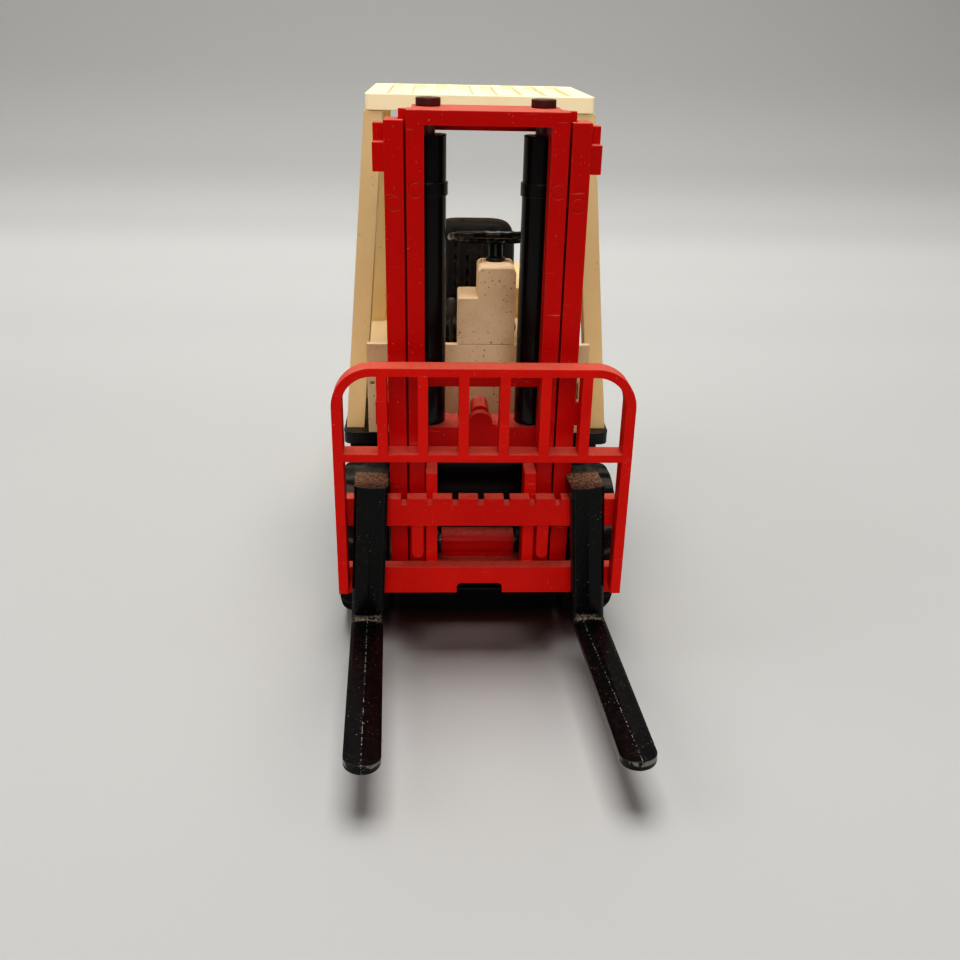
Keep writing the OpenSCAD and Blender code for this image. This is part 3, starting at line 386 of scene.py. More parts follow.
def make_finish(name, base, rough, tint, edge_highlight_colour=None, edge_highlight_amount=0.35,
                wear_colour=None, wear=(900.0, 0.45), worn_metal=0.0,
                dust_colour=None, dust=(400.0, 0.5), dust_strength=0.7,
                speck_colour=None, speck=(900.0, 0.16, 120.0, 0.5),
                scratch_colour=None, scratch=(60.0, 0.4),
                wave=0.05, grain=(3000.0, 0.3), metallic=0.0, specular=0.5):
    """One finish: a base colour with a cloudy tint, a painted highlight on the soft edges, worn
    patches on the edges, specks, scratches and dust on top, in that order, over one Principled
    shader. The tuples are the values of the groups: wear is patch scale and cut, dust is scale and
    cover, speck is scale, size, patch scale and spread, scratch is scale and amount, and grain is scale and
    height."""
    material = bpy.data.materials.new(name)
    material.use_nodes = True
    tree = material.node_tree
    shader = tree.nodes["Principled BSDF"]

    def group(source, **values):
        made = tree.nodes.new("ShaderNodeGroup")
        made.node_tree = source
        for key, value in values.items():
            made.inputs[key.replace("_", " ")].default_value = value
        return made

    skin = group(skin_tree, Grain_Scale=grain[0], Grain=grain[1])
    edges = group(edges_tree, Radius=EDGE_RADIUS, Patch_Scale=wear[0], Patch_Cut=wear[1])
    cloud = remap(tree, skin.outputs["Cloud"], 0.35, 0.65)
    shade = mix_colour(tree, cloud, base, tint)
    roughness = remap(tree, skin.outputs["Cloud"], 0.3, 0.7, rough * 0.85, min(1.0, rough * 1.2))
    # A painted highlight: a paler colour along the soft edges.
    if edge_highlight_colour:
        amount = maths(tree, "MULTIPLY", edges.outputs["Edge"], edge_highlight_amount)
        shade = mix_colour(tree, amount, shade, edge_highlight_colour)
    metal = None
    if wear_colour:
        shade = mix_colour(tree, edges.outputs["Wear"], shade, wear_colour)
        if worn_metal:
            metal = maths(tree, "MULTIPLY", edges.outputs["Wear"], worn_metal)
    if speck_colour:
        specks = group(specks_tree, Scale=speck[0], Size=speck[1], Patch_Scale=speck[2], Spread=speck[3])
        amount = maths(tree, "MULTIPLY", specks.outputs["Speck"], SPECK_STRENGTH)
        shade = mix_colour(tree, amount, shade, speck_colour)
    if scratch_colour:
        lines = group(scratch_tree, Scale=scratch[0], Amount=scratch[1])
        amount = maths(tree, "MULTIPLY", lines.outputs["Scratch"], SCRATCH_STRENGTH)
        shade = mix_colour(tree, amount, shade, scratch_colour)
    if dust_colour:
        powder = group(dust_tree, Scale=dust[0], Cover=dust[1])
        amount = maths(tree, "MULTIPLY", powder.outputs["Dust"], dust_strength)
        shade = mix_colour(tree, amount, shade, dust_colour)
        roughness = maths(tree, "ADD", roughness, maths(tree, "MULTIPLY", amount, DUST_ROUGHNESS),
                          clamp=True)
    tree.links.new(shade, shader.inputs["Base Color"])
    tree.links.new(roughness, shader.inputs["Roughness"])
    if metal:
        tree.links.new(metal, shader.inputs["Metallic"])
    else:
        shader.inputs["Metallic"].default_value = metallic
    bump = node(tree, "Bump", Strength=wave, Distance=BUMP_HEIGHT, Height=skin.outputs["Height"],
                Normal=edges.outputs["Normal"])
    tree.links.new(bump.outputs[0], shader.inputs["Normal"])
    shader.inputs["Specular IOR Level"].default_value = specular
    return material


# %% [markdown]
# ## The finishes
# The mast and carriage are red moulded plastic; the carriage gets a lit copy of the red that is a
# little brighter, painted light. The body is cream with brown specks; the cowl and console get a
# darker cloud and denser specks, and the guard's roof gets a paler lit copy of the cream, painted
# light. The forks and the metal pieces are painted black, and the rest is black plastic and rubber.
# All but the bare steel carry the dust of a toy that has been played with.

# %% Red, cream and black plastic
# The edge colours here are painted highlights along the soft edges.
red_look = dict(rough=0.36, specular=0.16, wave=0.10, edge_highlight_colour=colour(255, 70, 30), edge_highlight_amount=0.4,
                dust_colour=colour(206, 118, 98), dust=(1500.0, 0.62), dust_strength=0.7,
                speck_colour=colour(240, 150, 124), speck=(1700.0, 0.2, 260.0, 0.72),
                scratch_colour=colour(240, 150, 120), scratch=(60.0, 1.0))
red_plastic = make_finish("red_plastic", colour(208, 10, 3), tint=colour(198, 8, 3), **red_look)
# The carriage and backrest get a lit copy of the red, with a brighter base and tint: painted light.
red_carriage_lit_copy = make_finish("red_carriage_lit_copy", colour(236, 24, 8), tint=colour(222, 17, 6), **red_look)
cream_look = dict(rough=0.5, specular=0.25, wave=0.08, edge_highlight_colour=colour(255, 240, 205), edge_highlight_amount=0.35,
                  dust_colour=colour(222, 196, 150), dust=(300.0, 0.35), dust_strength=0.25,
                  speck_colour=colour(132, 88, 54), speck=(1300.0, 0.22, 170.0, 0.6))
cream_plastic = make_finish("cream_plastic", colour(246, 208, 150), tint=colour(240, 200, 141), **cream_look)
# The guard's roof gets a paler lit copy of the cream, with paler dust and fewer specks: painted light.
roof_lit_look = {**cream_look, "dust_colour": colour(255, 240, 206), "speck": (650.0, 0.1, 110.0, 0.2)}
roof_cream_lit_copy = make_finish("roof_cream_lit_copy", colour(255, 234, 190), tint=colour(255, 226, 176), **roof_lit_look)
# The cowl and console get a paler base, a darker cloud tint and denser, darker brown specks.
cream_cowl_console = make_finish(
    "cream_cowl_console", colour(248, 214, 173), 0.55, tint=colour(226, 186, 144), specular=0.2, wave=0.10,
    edge_highlight_colour=colour(252, 230, 200), edge_highlight_amount=0.35,
    dust_colour=colour(206, 172, 134), dust=(500.0, 0.5), dust_strength=0.4,
    speck_colour=colour(116, 72, 44), speck=(1700.0, 0.3, 300.0, 1.0))
black_plastic = make_finish(
    "black_plastic", colour(7, 7, 7), 0.24, tint=colour(11, 10, 10), specular=0.34, wave=0.08,
    edge_highlight_colour=colour(70, 67, 64), edge_highlight_amount=0.5,
    dust_colour=colour(58, 52, 46), dust=(600.0, 0.5), dust_strength=0.25)
seat_plastic = make_finish(
    "seat_plastic", colour(24, 22, 20), 0.42, tint=colour(40, 36, 33), specular=0.45, wave=0.15,
    grain=(2600.0, 0.8), edge_highlight_colour=colour(84, 78, 72), edge_highlight_amount=0.5,
    dust_colour=colour(104, 94, 82), dust=(700.0, 0.6), dust_strength=0.5)

# %% Rubber, metal and small parts
tyre_rubber = make_finish(
    "tyre_rubber", colour(15, 15, 14), 0.75, tint=colour(27, 26, 24), specular=0.2, wave=0.3,
    grain=(2500.0, 0.9), dust_colour=colour(104, 98, 88), dust=(500.0, 0.6), dust_strength=0.5,
    speck_colour=colour(112, 104, 92), speck=(900.0, 0.2, 200.0, 0.6))
steel = make_finish("steel", colour(150, 146, 140), 0.35, tint=colour(120, 114, 106), metallic=1.0,
                    wave=0.05)
knob_grey = make_finish("knob_grey", colour(84, 82, 74), 0.5, tint=colour(66, 64, 58), specular=0.3,
                        dust_colour=colour(128, 104, 82), dust_strength=0.3)
cap_brown = make_finish(
    "cap_brown", colour(86, 38, 30), 0.5, tint=colour(64, 34, 28), specular=0.3, wave=0.2,
    edge_highlight_colour=colour(150, 120, 100), edge_highlight_amount=0.5,
    dust_colour=colour(92, 86, 74), dust=(1400.0, 0.9), dust_strength=0.85)

# %% [markdown]
# ## Fork paint
# The forks show the most wear: their paint is glossy black with fine pale specks, rubbed away on
# the chamfers of the tips, dusty brown on top of the hooks and pale with dirt in the crease of
# the heel. A fine dotted pale line along the ridge of each blade is a painted highlight where the
# ridge catches the light. These marks have places of their own, so each fork gets its own copy of
# the paint, and its masks are worked out from that fork's box and from the corners of its mesh.


# %% Masks on a fork
BLADE_HEIGHT, TIP_LENGTH, HEEL_ROOM = 2.6 * MM, 2.6 * MM, 0.5 * MM


def corners_of(node_name):
    """Every corner of a CAD node's mesh, as an array of points."""
    mesh = nodes[node_name].data
    points = np.empty(len(mesh.vertices) * 3)
    mesh.vertices.foreach_get("co", points)
    return points.reshape(-1, 3)


def heel_of(node_name):
    """Where the front of a fork's shank stands: the front of the corners in its upper half."""
    points = corners_of(node_name)
    return points[points[:, 2] > middle(node_name)[2]][:, 1].min()


def ridge_line(node_name):
    """The straight line x = a + b y along the middle of a fork's blade, and the ridge's height. The
    middle is halfway between the blade's two sides at its tip and at its heel."""
    points, heel = corners_of(node_name), heel_of(node_name)
    blade = points[points[:, 1] < heel + HEEL_ROOM]
    blade = blade[blade[:, 2] < low(node_name)[2] + BLADE_HEIGHT]
    tip = blade[blade[:, 1] < blade[:, 1].min() + TIP_LENGTH]
    rear = blade[blade[:, 1] > blade[:, 1].max() - TIP_LENGTH]
    (tip_x, tip_y), (rear_x, rear_y) = [
        ((end[:, 0].min() + end[:, 0].max()) / 2, (end[:, 1].min() + end[:, 1].max()) / 2)
        for end in (tip, rear)]
    b = (rear_x - tip_x) / (rear_y - tip_y)
    a = tip_x - b * tip_y
    print(node_name, "ridge x =", round(a / MM, 2), "+", round(b, 3), "y")
    return a, b, blade[:, 2].max()


def near(tree, value, target, reach):
    """1 within about a third of the reach of a target, falling smoothly to 0 at the whole reach."""
    away = maths(tree, "ABSOLUTE", maths(tree, "SUBTRACT", value, target))
    return remap(tree, away, reach, 0.35 * reach)


def product(tree, *masks):
    """Masks multiplied one after another."""
    result = masks[0]
    for mask in masks[1:]:
        result = maths(tree, "MULTIPLY", result, mask)
    return result


DOT_REACH, CREASE_LENGTH, CREASE_HEIGHT = 0.1 * MM, 0.55 * MM, 0.8 * MM


def fork_paint(node_name):
    """The fork's black paint with its own marks mixed over it, one after another: the ridge's
    dotted painted highlight, the crease's dirt, the hook's dust and the bare chamfers of the tip."""
    material = make_finish(
        f"{node_name}_paint", colour(6, 6, 7), 0.2, tint=colour(11, 10, 10), specular=0.2, wave=0.12,
        grain=(1800.0, 0.7), edge_highlight_colour=colour(110, 107, 102), edge_highlight_amount=0.5,
        dust_colour=colour(34, 28, 26), dust=(900.0, 0.4), dust_strength=0.25,
        speck_colour=colour(176, 172, 164), speck=(2400.0, 0.2, 300.0, 0.75))
    tree = material.node_tree
    shader = tree.nodes["Principled BSDF"]
    shade = shader.inputs["Base Color"].links[0].from_socket
    lo, hi = low(node_name), high(node_name)
    a, b, ridge_z = ridge_line(node_name)
    place = node(tree, "TexCoord").outputs["Object"]
    axes = node(tree, "SeparateXYZ", i0=place)
    x, y, z = axes.outputs["X"], axes.outputs["Y"], axes.outputs["Z"]
    normal = node(tree, "NewGeometry").outputs["Normal"]
    up = node(tree, "SeparateXYZ", i0=normal).outputs["Z"]
    fine = node(tree, "TexNoise", Vector=place, Scale=2600.0, Detail=3.0).outputs["Fac"]
    coarse = node(tree, "TexNoise", Vector=place, Scale=700.0, Detail=3.0).outputs["Fac"]
    on_blade = remap(tree, z, ridge_z + 1.0 * MM, ridge_z + 0.4 * MM)
    off_ridge = maths(tree, "SUBTRACT", x, maths(tree, "ADD", maths(tree, "MULTIPLY", y, b), a))
    # A dotted painted highlight along the blade's ridge.
    ridge_highlight_dots = product(tree, near(tree, off_ridge, 0.0, DOT_REACH), remap(tree, fine, 0.5, 0.6), on_blade)
    crease = product(tree, near(tree, y, heel_of(node_name), CREASE_LENGTH),
                     near(tree, z, ridge_z, CREASE_HEIGHT), remap(tree, fine, 0.38, 0.55))
    hook = product(tree, remap(tree, z, hi[2] - 2.2 * MM, hi[2] - 1.4 * MM), remap(tree, up, 0.3, 0.7))
    rim_band = product(tree, remap(tree, z, ridge_z - 1.0 * MM, ridge_z - 0.7 * MM),
                       remap(tree, up, 0.85, 0.5))
    tip = product(tree, remap(tree, y, lo[1] + 2.6 * MM, lo[1] + 1.8 * MM), rim_band,
                  remap(tree, coarse, 0.42, 0.5))
    hook_dust = mix_colour(tree, remap(tree, fine, 0.35, 0.65), colour(84, 62, 50), colour(136, 112, 94))
    for mask, strength, mark in ((ridge_highlight_dots, 0.75, colour(150, 148, 142)), (crease, 0.8, colour(150, 138, 122)),
                                 (hook, 0.85, hook_dust), (tip, 0.9, colour(128, 128, 122))):
        shade = mix_colour(tree, maths(tree, "MULTIPLY", mask, strength), shade, mark)
    tree.links.new(shade, shader.inputs["Base Color"])
    return material


fork_paints = {name: fork_paint(name) for name in ("fork_left", "fork_right")}
metal_paint = make_finish(
    "metal_paint", colour(8, 8, 8), 0.3, tint=colour(14, 13, 13), specular=0.22, wave=0.12,
    edge_highlight_colour=colour(46, 44, 42), edge_highlight_amount=0.35, wear_colour=colour(120, 116, 110), wear=(700.0, 0.6),
    dust_colour=colour(60, 52, 46), dust=(900.0, 0.4), dust_strength=0.3, worn_metal=0.5)
print("finishes:", len(bpy.data.materials))

# %% Finishes on the CAD nodes
FINISH_OF_SLOT = {"red_plastic": red_plastic, "cream_plastic": cream_plastic,
                  "black_plastic": black_plastic, "black_metal": metal_paint, "seat_vinyl": seat_plastic,
                  "grey_plastic": knob_grey, "tyre_rubber": tyre_rubber, "steel": steel}
slot_of_node = {part["node"]: part["material_slot"] for part in frame["record"]["subparts"]}
# The carriage's and the roof's finishes here are lit copies of the red and the cream: painted light.
SPECIAL_FINISH = {"front_cowl": cream_cowl_console, "instrument_console": cream_cowl_console, "guard_roof": roof_cream_lit_copy,
                  "carriage": red_carriage_lit_copy, "load_backrest": red_carriage_lit_copy, **fork_paints}
for name, obj in nodes.items():
    finish = SPECIAL_FINISH.get(name, FINISH_OF_SLOT[slot_of_node[name]])
    for material_slot in obj.material_slots:
        material_slot.material = finish
print("nodes with a finish:", len(nodes))

# %% [markdown]
# ## Tyres
# The toy's tyres are solid rubber with square-shouldered lugs and a plain rib round the middle.
# A tyre is a ring: one parameter goes round the axle, the other round the tyre's section, which
# is a superellipse so that the shoulders are full but round. The lugs come from lowering the
# tread between them, so the silhouette shows them.


# %% Tyre surface
RIM_SHARE, LUG_DEPTH, SECTION_POWER = 0.61, 0.7 * MM, 3.6
LUG_SLANT, LUG_STEEPNESS, LUG_LEVEL = 2.2, 2.2, 0.35
RIB_HALF_SHARE, RIB_FLANK = 0.16, 0.06
TREAD_START, TREAD_BLEND = 0.55, 0.25
BEAD_START, BEAD_INSET = -0.9, 0.04


def tyre_shape(node_name, lugs):
    """A ring whose section is the superellipse |x/a|^3.6 + |(r - c)/b|^3.6 = 1. Outside the middle
    rib the radius drops by the lug depth wherever the slanted lug wave is low."""
    lo, hi = low(node_name), high(node_name)
    outer = (hi[2] - lo[2]) / 2
    inner = outer * RIM_SHARE
    half_width, centre = (hi[0] - lo[0]) / 2, (lo + hi) / 2
    round_axle = np.linspace(0, 2 * math.pi, lugs * 14, endpoint=False)[:, None]
    section = np.linspace(0, 2 * math.pi, 64, endpoint=False)[None, :]
    power = 2 / SECTION_POWER
    across = np.sign(np.cos(section)) * np.abs(np.cos(section)) ** power
    out = np.sign(np.sin(section)) * np.abs(np.sin(section)) ** power
    half_pitch = np.where(across > 0, math.pi, 0.0)
    slant = lugs * round_axle + LUG_SLANT * np.abs(across) + half_pitch
    low_land = np.clip(0.5 - LUG_STEEPNESS * (np.cos(slant) - LUG_LEVEL), 0, 1)
    beside_rib = np.clip((np.abs(across) - RIB_HALF_SHARE) / RIB_FLANK, 0, 1)
    tread = np.clip((out - TREAD_START) / TREAD_BLEND, 0, 1)
    drop = LUG_DEPTH * low_land * beside_rib * tread
    radius = (outer + inner) / 2 + out * (outer - inner) / 2 - drop
    x = centre[0] + half_width * across * (1 - BEAD_INSET * (out < BEAD_START))
    y, z = centre[1] + radius * np.cos(round_axle), centre[2] + radius * np.sin(round_axle)
    grid = np.stack(np.broadcast_arrays(x, y, z), -1)
    return Shape().add(grid, wrap_rows=True)


# %% Four tyres
for end, lugs in (("front", 20), ("rear", 16)):
    for side in ("left", "right"):
        name = f"{end}_tyre_{side}"
        make_piece(f"{name}_tread", tyre_shape(name, lugs), f"{end}_wheel_{side}", tyre_rubber,
                   replaces=(name,), smooth_angle=50.0)

# %% [markdown]
# ## Wheel nuts
# Each wheel has six nuts on a circle round its axle. A nut is a short profile of radius against
# height, carried round in six steps so that it comes out six-sided.


# %% Wheel nuts
NUT_COUNT, NUT_SIDES, NUT_CIRCLE, NUT_FACE = 6, 6, 0.4, 1.05 * MM
NUT_RADIUS, NUT_HEIGHT, NUT_SUNK, NUT_ROUNDING = 0.42 * MM, 0.9 * MM, 0.2 * MM, 0.12 * MM


def nuts_shape(rim_node, side):
    """Six nuts on the wheel's outside, on a circle that is a share of the rim's radius."""
    outward = 1.0 if side == "left" else -1.0
    lo, hi = low(rim_node), high(rim_node)
    centre = (lo + hi) / 2
    rim_radius = (hi[2] - lo[2]) / 2
    face = centre[0] + outward * NUT_FACE
    nut = rounded_profile([[0, NUT_HEIGHT], [NUT_RADIUS, NUT_HEIGHT], [NUT_RADIUS, -NUT_SUNK]],
                          NUT_ROUNDING, 3)
    shape = Shape()
    for k in range(NUT_COUNT):
        turn = math.radians(360 / NUT_COUNT * (k + 0.5))
        spot = np.array([face, centre[1] + NUT_CIRCLE * rim_radius * math.cos(turn),
                         centre[2] + NUT_CIRCLE * rim_radius * math.sin(turn)])
        shape.add(lathe(nut, spot, (outward, 0, 0), NUT_SIDES))
    return shape


for end in ("front", "rear"):
    for side in ("left", "right"):
        make_piece(f"{end}_wheel_nuts_{side}", nuts_shape(f"{end}_rim_{side}", side),
                   f"{end}_wheel_{side}", steel)

# %% [markdown]
# ## The seat
# The seat is a hard moulding in the shape of two pads. Its back has a full rim and upright tufted
# channels, its cushion a crowned top with the same channels running forwards. Each pad is closed:
# a superellipse outline shrinks towards the middle while the thickness grows, and the channels
# press into one of its two sides.


# %% Seat surface
OUTLINE_POWER, CROWN_POWER, CROWN_FULLNESS = 5.0, 7, 0.42
CHANNEL_SHARPNESS, DIMPLE_SHARPNESS = 14, 10
CHANNEL_PRESS, DIMPLE_PRESS, PRESS_DEPTH = 0.55, 0.9, 0.9 * MM
PLAIN_RIM, RIM_BLEND = 0.86, 0.12
FIRST_SHARE, RING_STEPS = 0.02, 26


def pad_shape(node_name, thick_axis, pressed_side, channels, dimple_rows):
    """A closed pad inside a node's box. The outline is the superellipse |s|^5 + |t|^5 = 1 scaled
    by a share p that goes from the middle to the rim and back. The thickness falls to the rim as
    (1 - p^7)^0.42, and one side is pressed in along even channels and at dimples on them."""
    lo, hi = low(node_name), high(node_name)
    centre, half = (lo + hi) / 2, (hi - lo) / 2
    flat_axes = [a for a in range(3) if a != thick_axis]
    share = np.concatenate([np.linspace(FIRST_SHARE, 1, RING_STEPS),
                            np.linspace(1, FIRST_SHARE, RING_STEPS)[1:]])[:, None]
    lift = np.concatenate([np.ones(RING_STEPS - 1), np.zeros(1), -np.ones(RING_STEPS - 1)])[:, None]
    turn = np.linspace(0, 2 * math.pi, 96, endpoint=False)[None, :]
    power = 2 / OUTLINE_POWER
    s = share * np.sign(np.cos(turn)) * np.abs(np.cos(turn)) ** power
    t = share * np.sign(np.sin(turn)) * np.abs(np.sin(turn)) ** power
    thick = (1 - share ** CROWN_POWER) ** CROWN_FULLNESS
    press = np.abs(np.cos(math.pi * channels * (s + 1) / 2)) ** CHANNEL_SHARPNESS
    dimple = press * np.abs(np.cos(math.pi * dimple_rows * (t + 1) / 2)) ** DIMPLE_SHARPNESS
    inside = np.clip((PLAIN_RIM - share) / RIM_BLEND, 0, 1)
    depth = (CHANNEL_PRESS * press + DIMPLE_PRESS * dimple) * PRESS_DEPTH * inside
    pressed = np.where(lift * pressed_side > 0, depth, 0.0)
    grid = np.zeros(s.shape + (3,))
    grid[..., flat_axes[0]] = centre[flat_axes[0]] + half[flat_axes[0]] * s
    grid[..., flat_axes[1]] = centre[flat_axes[1]] + half[flat_axes[1]] * t
    grid[..., thick_axis] = centre[thick_axis] + lift * (half[thick_axis] * thick - pressed)
    return Shape().add(grid)


make_piece("seat_back_pad", pad_shape("seat_back", 1, -1, 7, 8), "chassis", seat_plastic,
           replaces=("seat_back",), smooth_angle=60)
make_piece("seat_cushion_pad", pad_shape("seat_cushion", 2, 1, 5, 4), "chassis", seat_plastic,
           replaces=("seat_cushion",), smooth_angle=60)

# %% [markdown]
# ## The steering wheel
# A thick rim with three flat spokes and a domed hub, all black. The rim is a round section
# carried round a circle, with shallow finger grips that come and go round it. The wheel's plane
# comes from the joint it turns on, so it leans with the column.

# %% Steering wheel
RIM_THICK, RIM_ABOVE_BASE, BASE_BELOW_JOINT = 1.3 * MM, 0.9 * MM, 0.9 * MM
GRIP_COUNT, GRIP_DEPTH = 24, 0.07
SPOKE_START, SPOKE_RISE, SPOKE_DROP = 0.5 * MM, 1.15 * MM, 0.35 * MM
SPOKE_WIDTHS, SPOKE_HALF_THICK = (1.0, 0.62), 0.32 * MM
steering = joints["steering_wheel_turn"]
steering_axis = np.array(steering["axis"], float)
steering_axis /= np.linalg.norm(steering_axis)
wheel_lo, wheel_hi = low("steering_wheel"), high("steering_wheel")
rim_radius = (wheel_hi[0] - wheel_lo[0]) / 2 - RIM_THICK / 2
wheel_side = np.array([1.0, 0.0, 0.0])
wheel_front = np.cross(steering_axis, wheel_side)
hub_base = np.array(steering["pos_m"], float) - steering_axis * BASE_BELOW_JOINT
turn = np.linspace(0, 2 * math.pi, 144, endpoint=False)
rim_centre = hub_base + steering_axis * RIM_ABOVE_BASE
outward = np.cos(turn)[:, None] * wheel_side + np.sin(turn)[:, None] * wheel_front
rim_path = rim_centre + rim_radius * outward
section = np.linspace(0, 2 * math.pi, 14, endpoint=False)
thickness = RIM_THICK / 2 * (1 - GRIP_DEPTH + GRIP_DEPTH * np.cos(turn * GRIP_COUNT))
rim_grid = (rim_path[:, None] + thickness[:, None, None] * (np.cos(section)[None, :, None] * outward[:, None]
            + np.sin(section)[None, :, None] * steering_axis))
wheel_shape = Shape().add(rim_grid, wrap_rows=True)
ring = np.linspace(0, 2 * math.pi, 12, endpoint=False)[None, :, None]
outwards = np.linspace(0, 1, 9)[:, None]
half_width = np.linspace(*SPOKE_WIDTHS, 9)[:, None, None] * MM
for angle in np.radians([90, 210, 330]):
    direction = math.cos(angle) * wheel_side + math.sin(angle) * wheel_front
    spoke = np.linspace(SPOKE_START, rim_radius, 9)[:, None]
    path = hub_base + direction * spoke + steering_axis * (SPOKE_RISE - SPOKE_DROP * outwards)
    cross = np.cross(steering_axis, direction)
    wheel_shape.add(path[:, None] + half_width * np.cos(ring) * cross
                    + SPOKE_HALF_THICK * np.sin(ring) * steering_axis)
hub_corners = np.array([[0.68, 0.02], [1.5, 0.02], [1.35, 1.5], [0, 1.75]]) * MM
hub = rounded_profile(hub_corners, 0.35 * MM)
wheel_shape.add(lathe(hub, hub_base, steering_axis, 32), cap=False)
make_piece("steering_wheel_rim", wheel_shape, "steering_wheel", black_plastic,
           replaces=("steering_wheel",))

# %% [markdown]
# ## Levers
# Two hand levers stand beside the console: a low one with a grey barrel-shaped knob and a taller
# black one. Each is a single turned profile, a thin rod that swells into its knob.


# %% Levers
KNOB_LENGTH, ROD_SHARE = 3.2 * MM, 0.36


def lever_shape(node_name):
    """A rod of about a third of the knob's radius that opens into a barrel-shaped knob on top."""
    lo, hi = low(node_name), high(node_name)
    knob_radius, length = (hi[0] - lo[0]) / 2, hi[2] - lo[2]
    foot = np.array([(lo[0] + hi[0]) / 2, (lo[1] + hi[1]) / 2, lo[2]])
    knob, rod_radius = length - KNOB_LENGTH, ROD_SHARE * knob_radius
    profile = [[0, 0], [rod_radius, 0], [rod_radius, knob], [0.8 * knob_radius, knob + 0.1 * MM],
               [knob_radius, knob + 1.0 * MM], [knob_radius, length - 0.8 * MM],
               [0.66 * knob_radius, length], [0, length]]
    return Shape().add(lathe(rounded_profile(profile, 0.5 * MM), foot, count=28))


for lever, finish, slot in (("lift_lever", knob_grey, "grey_plastic"),
                            ("tilt_lever", black_plastic, "black_plastic")):
    make_piece(f"{lever}_knob", lever_shape(lever), "chassis", finish, replaces=(lever,))

# %% [markdown]
# ## Lift rods
# Each lift rod ends in a flat brown cap on top of the inner mast, a disc with a low rim. The rod
# and its cap are two turned shapes, so that each keeps its own finish.

# %% Lift rods
CAP_HEIGHT, CAP_RIM_HEIGHT, CAP_ROUNDING = 1.1 * MM, 0.12 * MM, 0.12 * MM
ROD_RADIUS, ROD_IN_CAP = 1.0 * MM, 0.2 * MM
for side in ("left", "right"):
    name = f"lift_rod_{side}"
    lo, hi = low(name), high(name)
    foot = np.array([(lo[0] + hi[0]) / 2, (lo[1] + hi[1]) / 2, 0.0])
    cap_radius = (hi[0] - lo[0]) / 2
    cap_low = hi[2] - CAP_HEIGHT
    rod_top = cap_low + ROD_IN_CAP
    rod = rounded_profile([[0, lo[2]], [ROD_RADIUS, lo[2]], [ROD_RADIUS, rod_top], [0, rod_top]], 0.1 * MM)
    make_piece(f"{name}_shaft", Shape().add(lathe(rod, foot, count=32)), "inner_mast", steel,
               replaces=(name,))
    disc_top = hi[2] - CAP_RIM_HEIGHT
    cap = [[0, cap_low], [cap_radius, cap_low], [cap_radius, hi[2]], [0.84 * cap_radius, hi[2]],
           [0.8 * cap_radius, disc_top], [0, disc_top]]
    cap_shape = Shape().add(lathe(rounded_profile(cap, CAP_ROUNDING, 4), foot, count=40))
    make_piece(f"{name}_cap", cap_shape, "inner_mast", cap_brown)

# %% [markdown]
# ## Floor and light
# The toy stands on a pale matt sheet that sweeps up behind it without an edge. The sheet's colour
# carries a painted pool of light, brightest where the sweep begins. Wide soft lights hang above and
# behind, so the shadows fall towards the viewer, and more stand at the sides. A fill in front keeps
# the near faces readable. It is kept off the sheet, because it would wash out the dark shadow under
# the truck. A small lamp lights the guard's roof alone. The room around is dim, and a small dip at
# the foot of the tone curve deepens the blacks as a camera does.

# %% Floor
SWEEP_START, SWEEP_RADIUS, SWEEP_TOP = mast_y + 0.27, 0.20, 1.6
FLOOR_FRONT, FLOOR_HALF_WIDTH = -2.0, 2.5
bend = np.linspace(0, math.pi / 2, 24)
sweep_y = np.concatenate([[FLOOR_FRONT], SWEEP_START + SWEEP_RADIUS * np.sin(bend),
                          [SWEEP_START + SWEEP_RADIUS]])
sweep_z = np.concatenate([[0.0], SWEEP_RADIUS * (1 - np.cos(bend)), [SWEEP_TOP]])
sweep_x = np.array([-FLOOR_HALF_WIDTH, FLOOR_HALF_WIDTH])
sweep = np.stack(np.broadcast_arrays(sweep_x[None, :], sweep_y[:, None], sweep_z[:, None]), -1)
floor_mesh = bpy.data.meshes.new("floor_sweep")
floor_mesh.from_pydata(sweep.reshape(-1, 3).tolist(), [],
                       grid_quads(len(sweep_y), 2, False, False).tolist())
floor_mesh.shade_smooth()
floor = bpy.data.objects.new("floor_sweep", floor_mesh)
bpy.context.scene.collection.objects.link(floor)

# %% Paper
PAPER, PAPER_ROUGHNESS = np.array(colour(204, 203, 199)), 0.85
# Each pair is a distance behind the mast, with the sheet's rise added to it, and the brightness painted there: a
# painted pool of light, brightest where the sweep begins.
PAPER_PAINTED_LIGHT = [(0.10, 1.0), (0.18, 1.09), (0.265, 1.22), (0.306, 1.26), (0.351, 1.10), (0.416, 0.88),
               (0.51, 0.755)]
TONE_REACH = 0.6
paper = bpy.data.materials.new("pale_paper")
paper.use_nodes = True
tree = paper.node_tree
axes = node(tree, "SeparateXYZ", i0=node(tree, "TexCoord").outputs["Object"])
along = maths(tree, "SUBTRACT", maths(tree, "ADD", axes.outputs["Y"], axes.outputs["Z"]), mast_y)
ramp = node(tree, "ValToRGB", Fac=maths(tree, "DIVIDE", along, TONE_REACH))
ramp.color_ramp.interpolation = "EASE"
stops = ramp.color_ramp.elements
while len(stops) < len(PAPER_PAINTED_LIGHT):
    stops.new(0.5)
for stop, (distance, _) in zip(stops, PAPER_PAINTED_LIGHT):
    stop.position = distance / TONE_REACH
for stop, (_, tone) in zip(stops, PAPER_PAINTED_LIGHT):
    stop.color = tuple(PAPER[:3] * tone) + (1.0,)
tree.links.new(ramp.outputs["Color"], tree.nodes["Principled BSDF"].inputs["Base Color"])
tree.nodes["Principled BSDF"].inputs["Roughness"].default_value = PAPER_ROUGHNESS
floor_mesh.materials.append(paper)


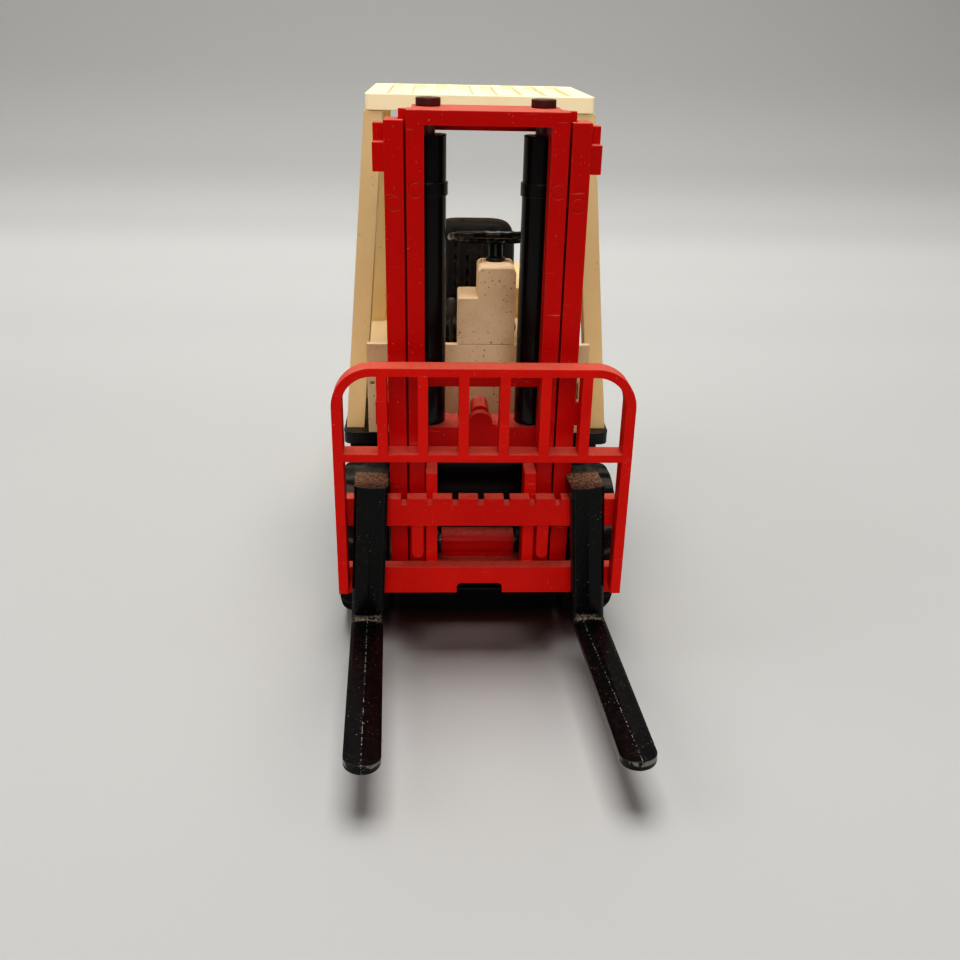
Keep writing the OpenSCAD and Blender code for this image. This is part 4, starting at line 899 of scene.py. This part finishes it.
# %% Lights
def area_light(name, place, target, size, power):
    """A square soft light facing a target. Its place and target are measured from the mast."""
    data = bpy.data.lights.new(name, "AREA")
    data.shape, data.size, data.energy = "SQUARE", size, power
    lamp = bpy.data.objects.new(name, data)
    bpy.context.scene.collection.objects.link(lamp)
    place, target = ((x, mast_y + y, z) for x, y, z in (place, target))
    lamp.location = place
    lamp.rotation_euler = (Vector(target) - Vector(place)).to_track_quat("-Z", "Y").to_euler()
    return lamp


TRUCK, BEHIND, ROOF = (0.0, 0.02, 0.03), (0.0, 0.15, 0.0), (0.0, 0.01, 0.075)
LIGHTS = [("high_softbox", (0.0, 0.05, 0.90), TRUCK, 0.5, 2.14),
          ("low_softbox", (0.0, 0.04, 0.45), TRUCK, 0.25, 0.95),
          ("back_softbox", (0.0, 0.30, 0.70), BEHIND, 0.4, 1.06),
          ("left_fill", (-0.80, 0.0, 0.70), TRUCK, 0.6, 2.25),
          ("right_fill", (0.80, 0.0, 0.70), TRUCK, 0.6, 0.91),
          ("front_fill", (0.0, -0.80, 0.60), TRUCK, 0.6, 3.45),
          ("guard_lamp", (0.0, -0.15, 0.27), ROOF, 0.12, 0.3)]
lamps = {name: area_light(name, *rest) for name, *rest in LIGHTS}
unlit_by_front = bpy.data.collections.new("unlit_by_front_fill")
unlit_by_front.objects.link(floor)
unlit_by_front.collection_objects[0].light_linking.link_state = "EXCLUDE"
lamps["front_fill"].light_linking.receiver_collection = unlit_by_front
lit_guard = bpy.data.collections.new("lit_guard")
lit_guard.objects.link(nodes["guard_roof"])
lamps["guard_lamp"].light_linking.receiver_collection = lit_guard

# %% World
ROOM_LIGHT, ROOM_SEEN = 0.02, 0.42
world = bpy.data.worlds.new("dim_room")
bpy.context.scene.world = world
world.use_nodes = True
world_tree = world.node_tree
seen = node(world_tree, "LightPath").outputs["Is Camera Ray"]
background = world_tree.nodes["Background"]
world_tree.links.new(remap(world_tree, seen, 0.0, 1.0, ROOM_LIGHT, ROOM_SEEN), background.inputs["Strength"])
background.inputs["Color"].default_value = (1.0, 0.99, 0.97, 1.0)

# %% Tone
TOE = ((0.008, 0.004), (0.05, 0.032), (0.12, 0.105), (0.22, 0.22))
view = bpy.context.scene.view_settings
view.view_transform = "Standard"
view.use_curve_mapping = True
combined = view.curve_mapping.curves[3]
for light_in, light_out in TOE:
    combined.points.new(light_in, light_out)
view.curve_mapping.update()
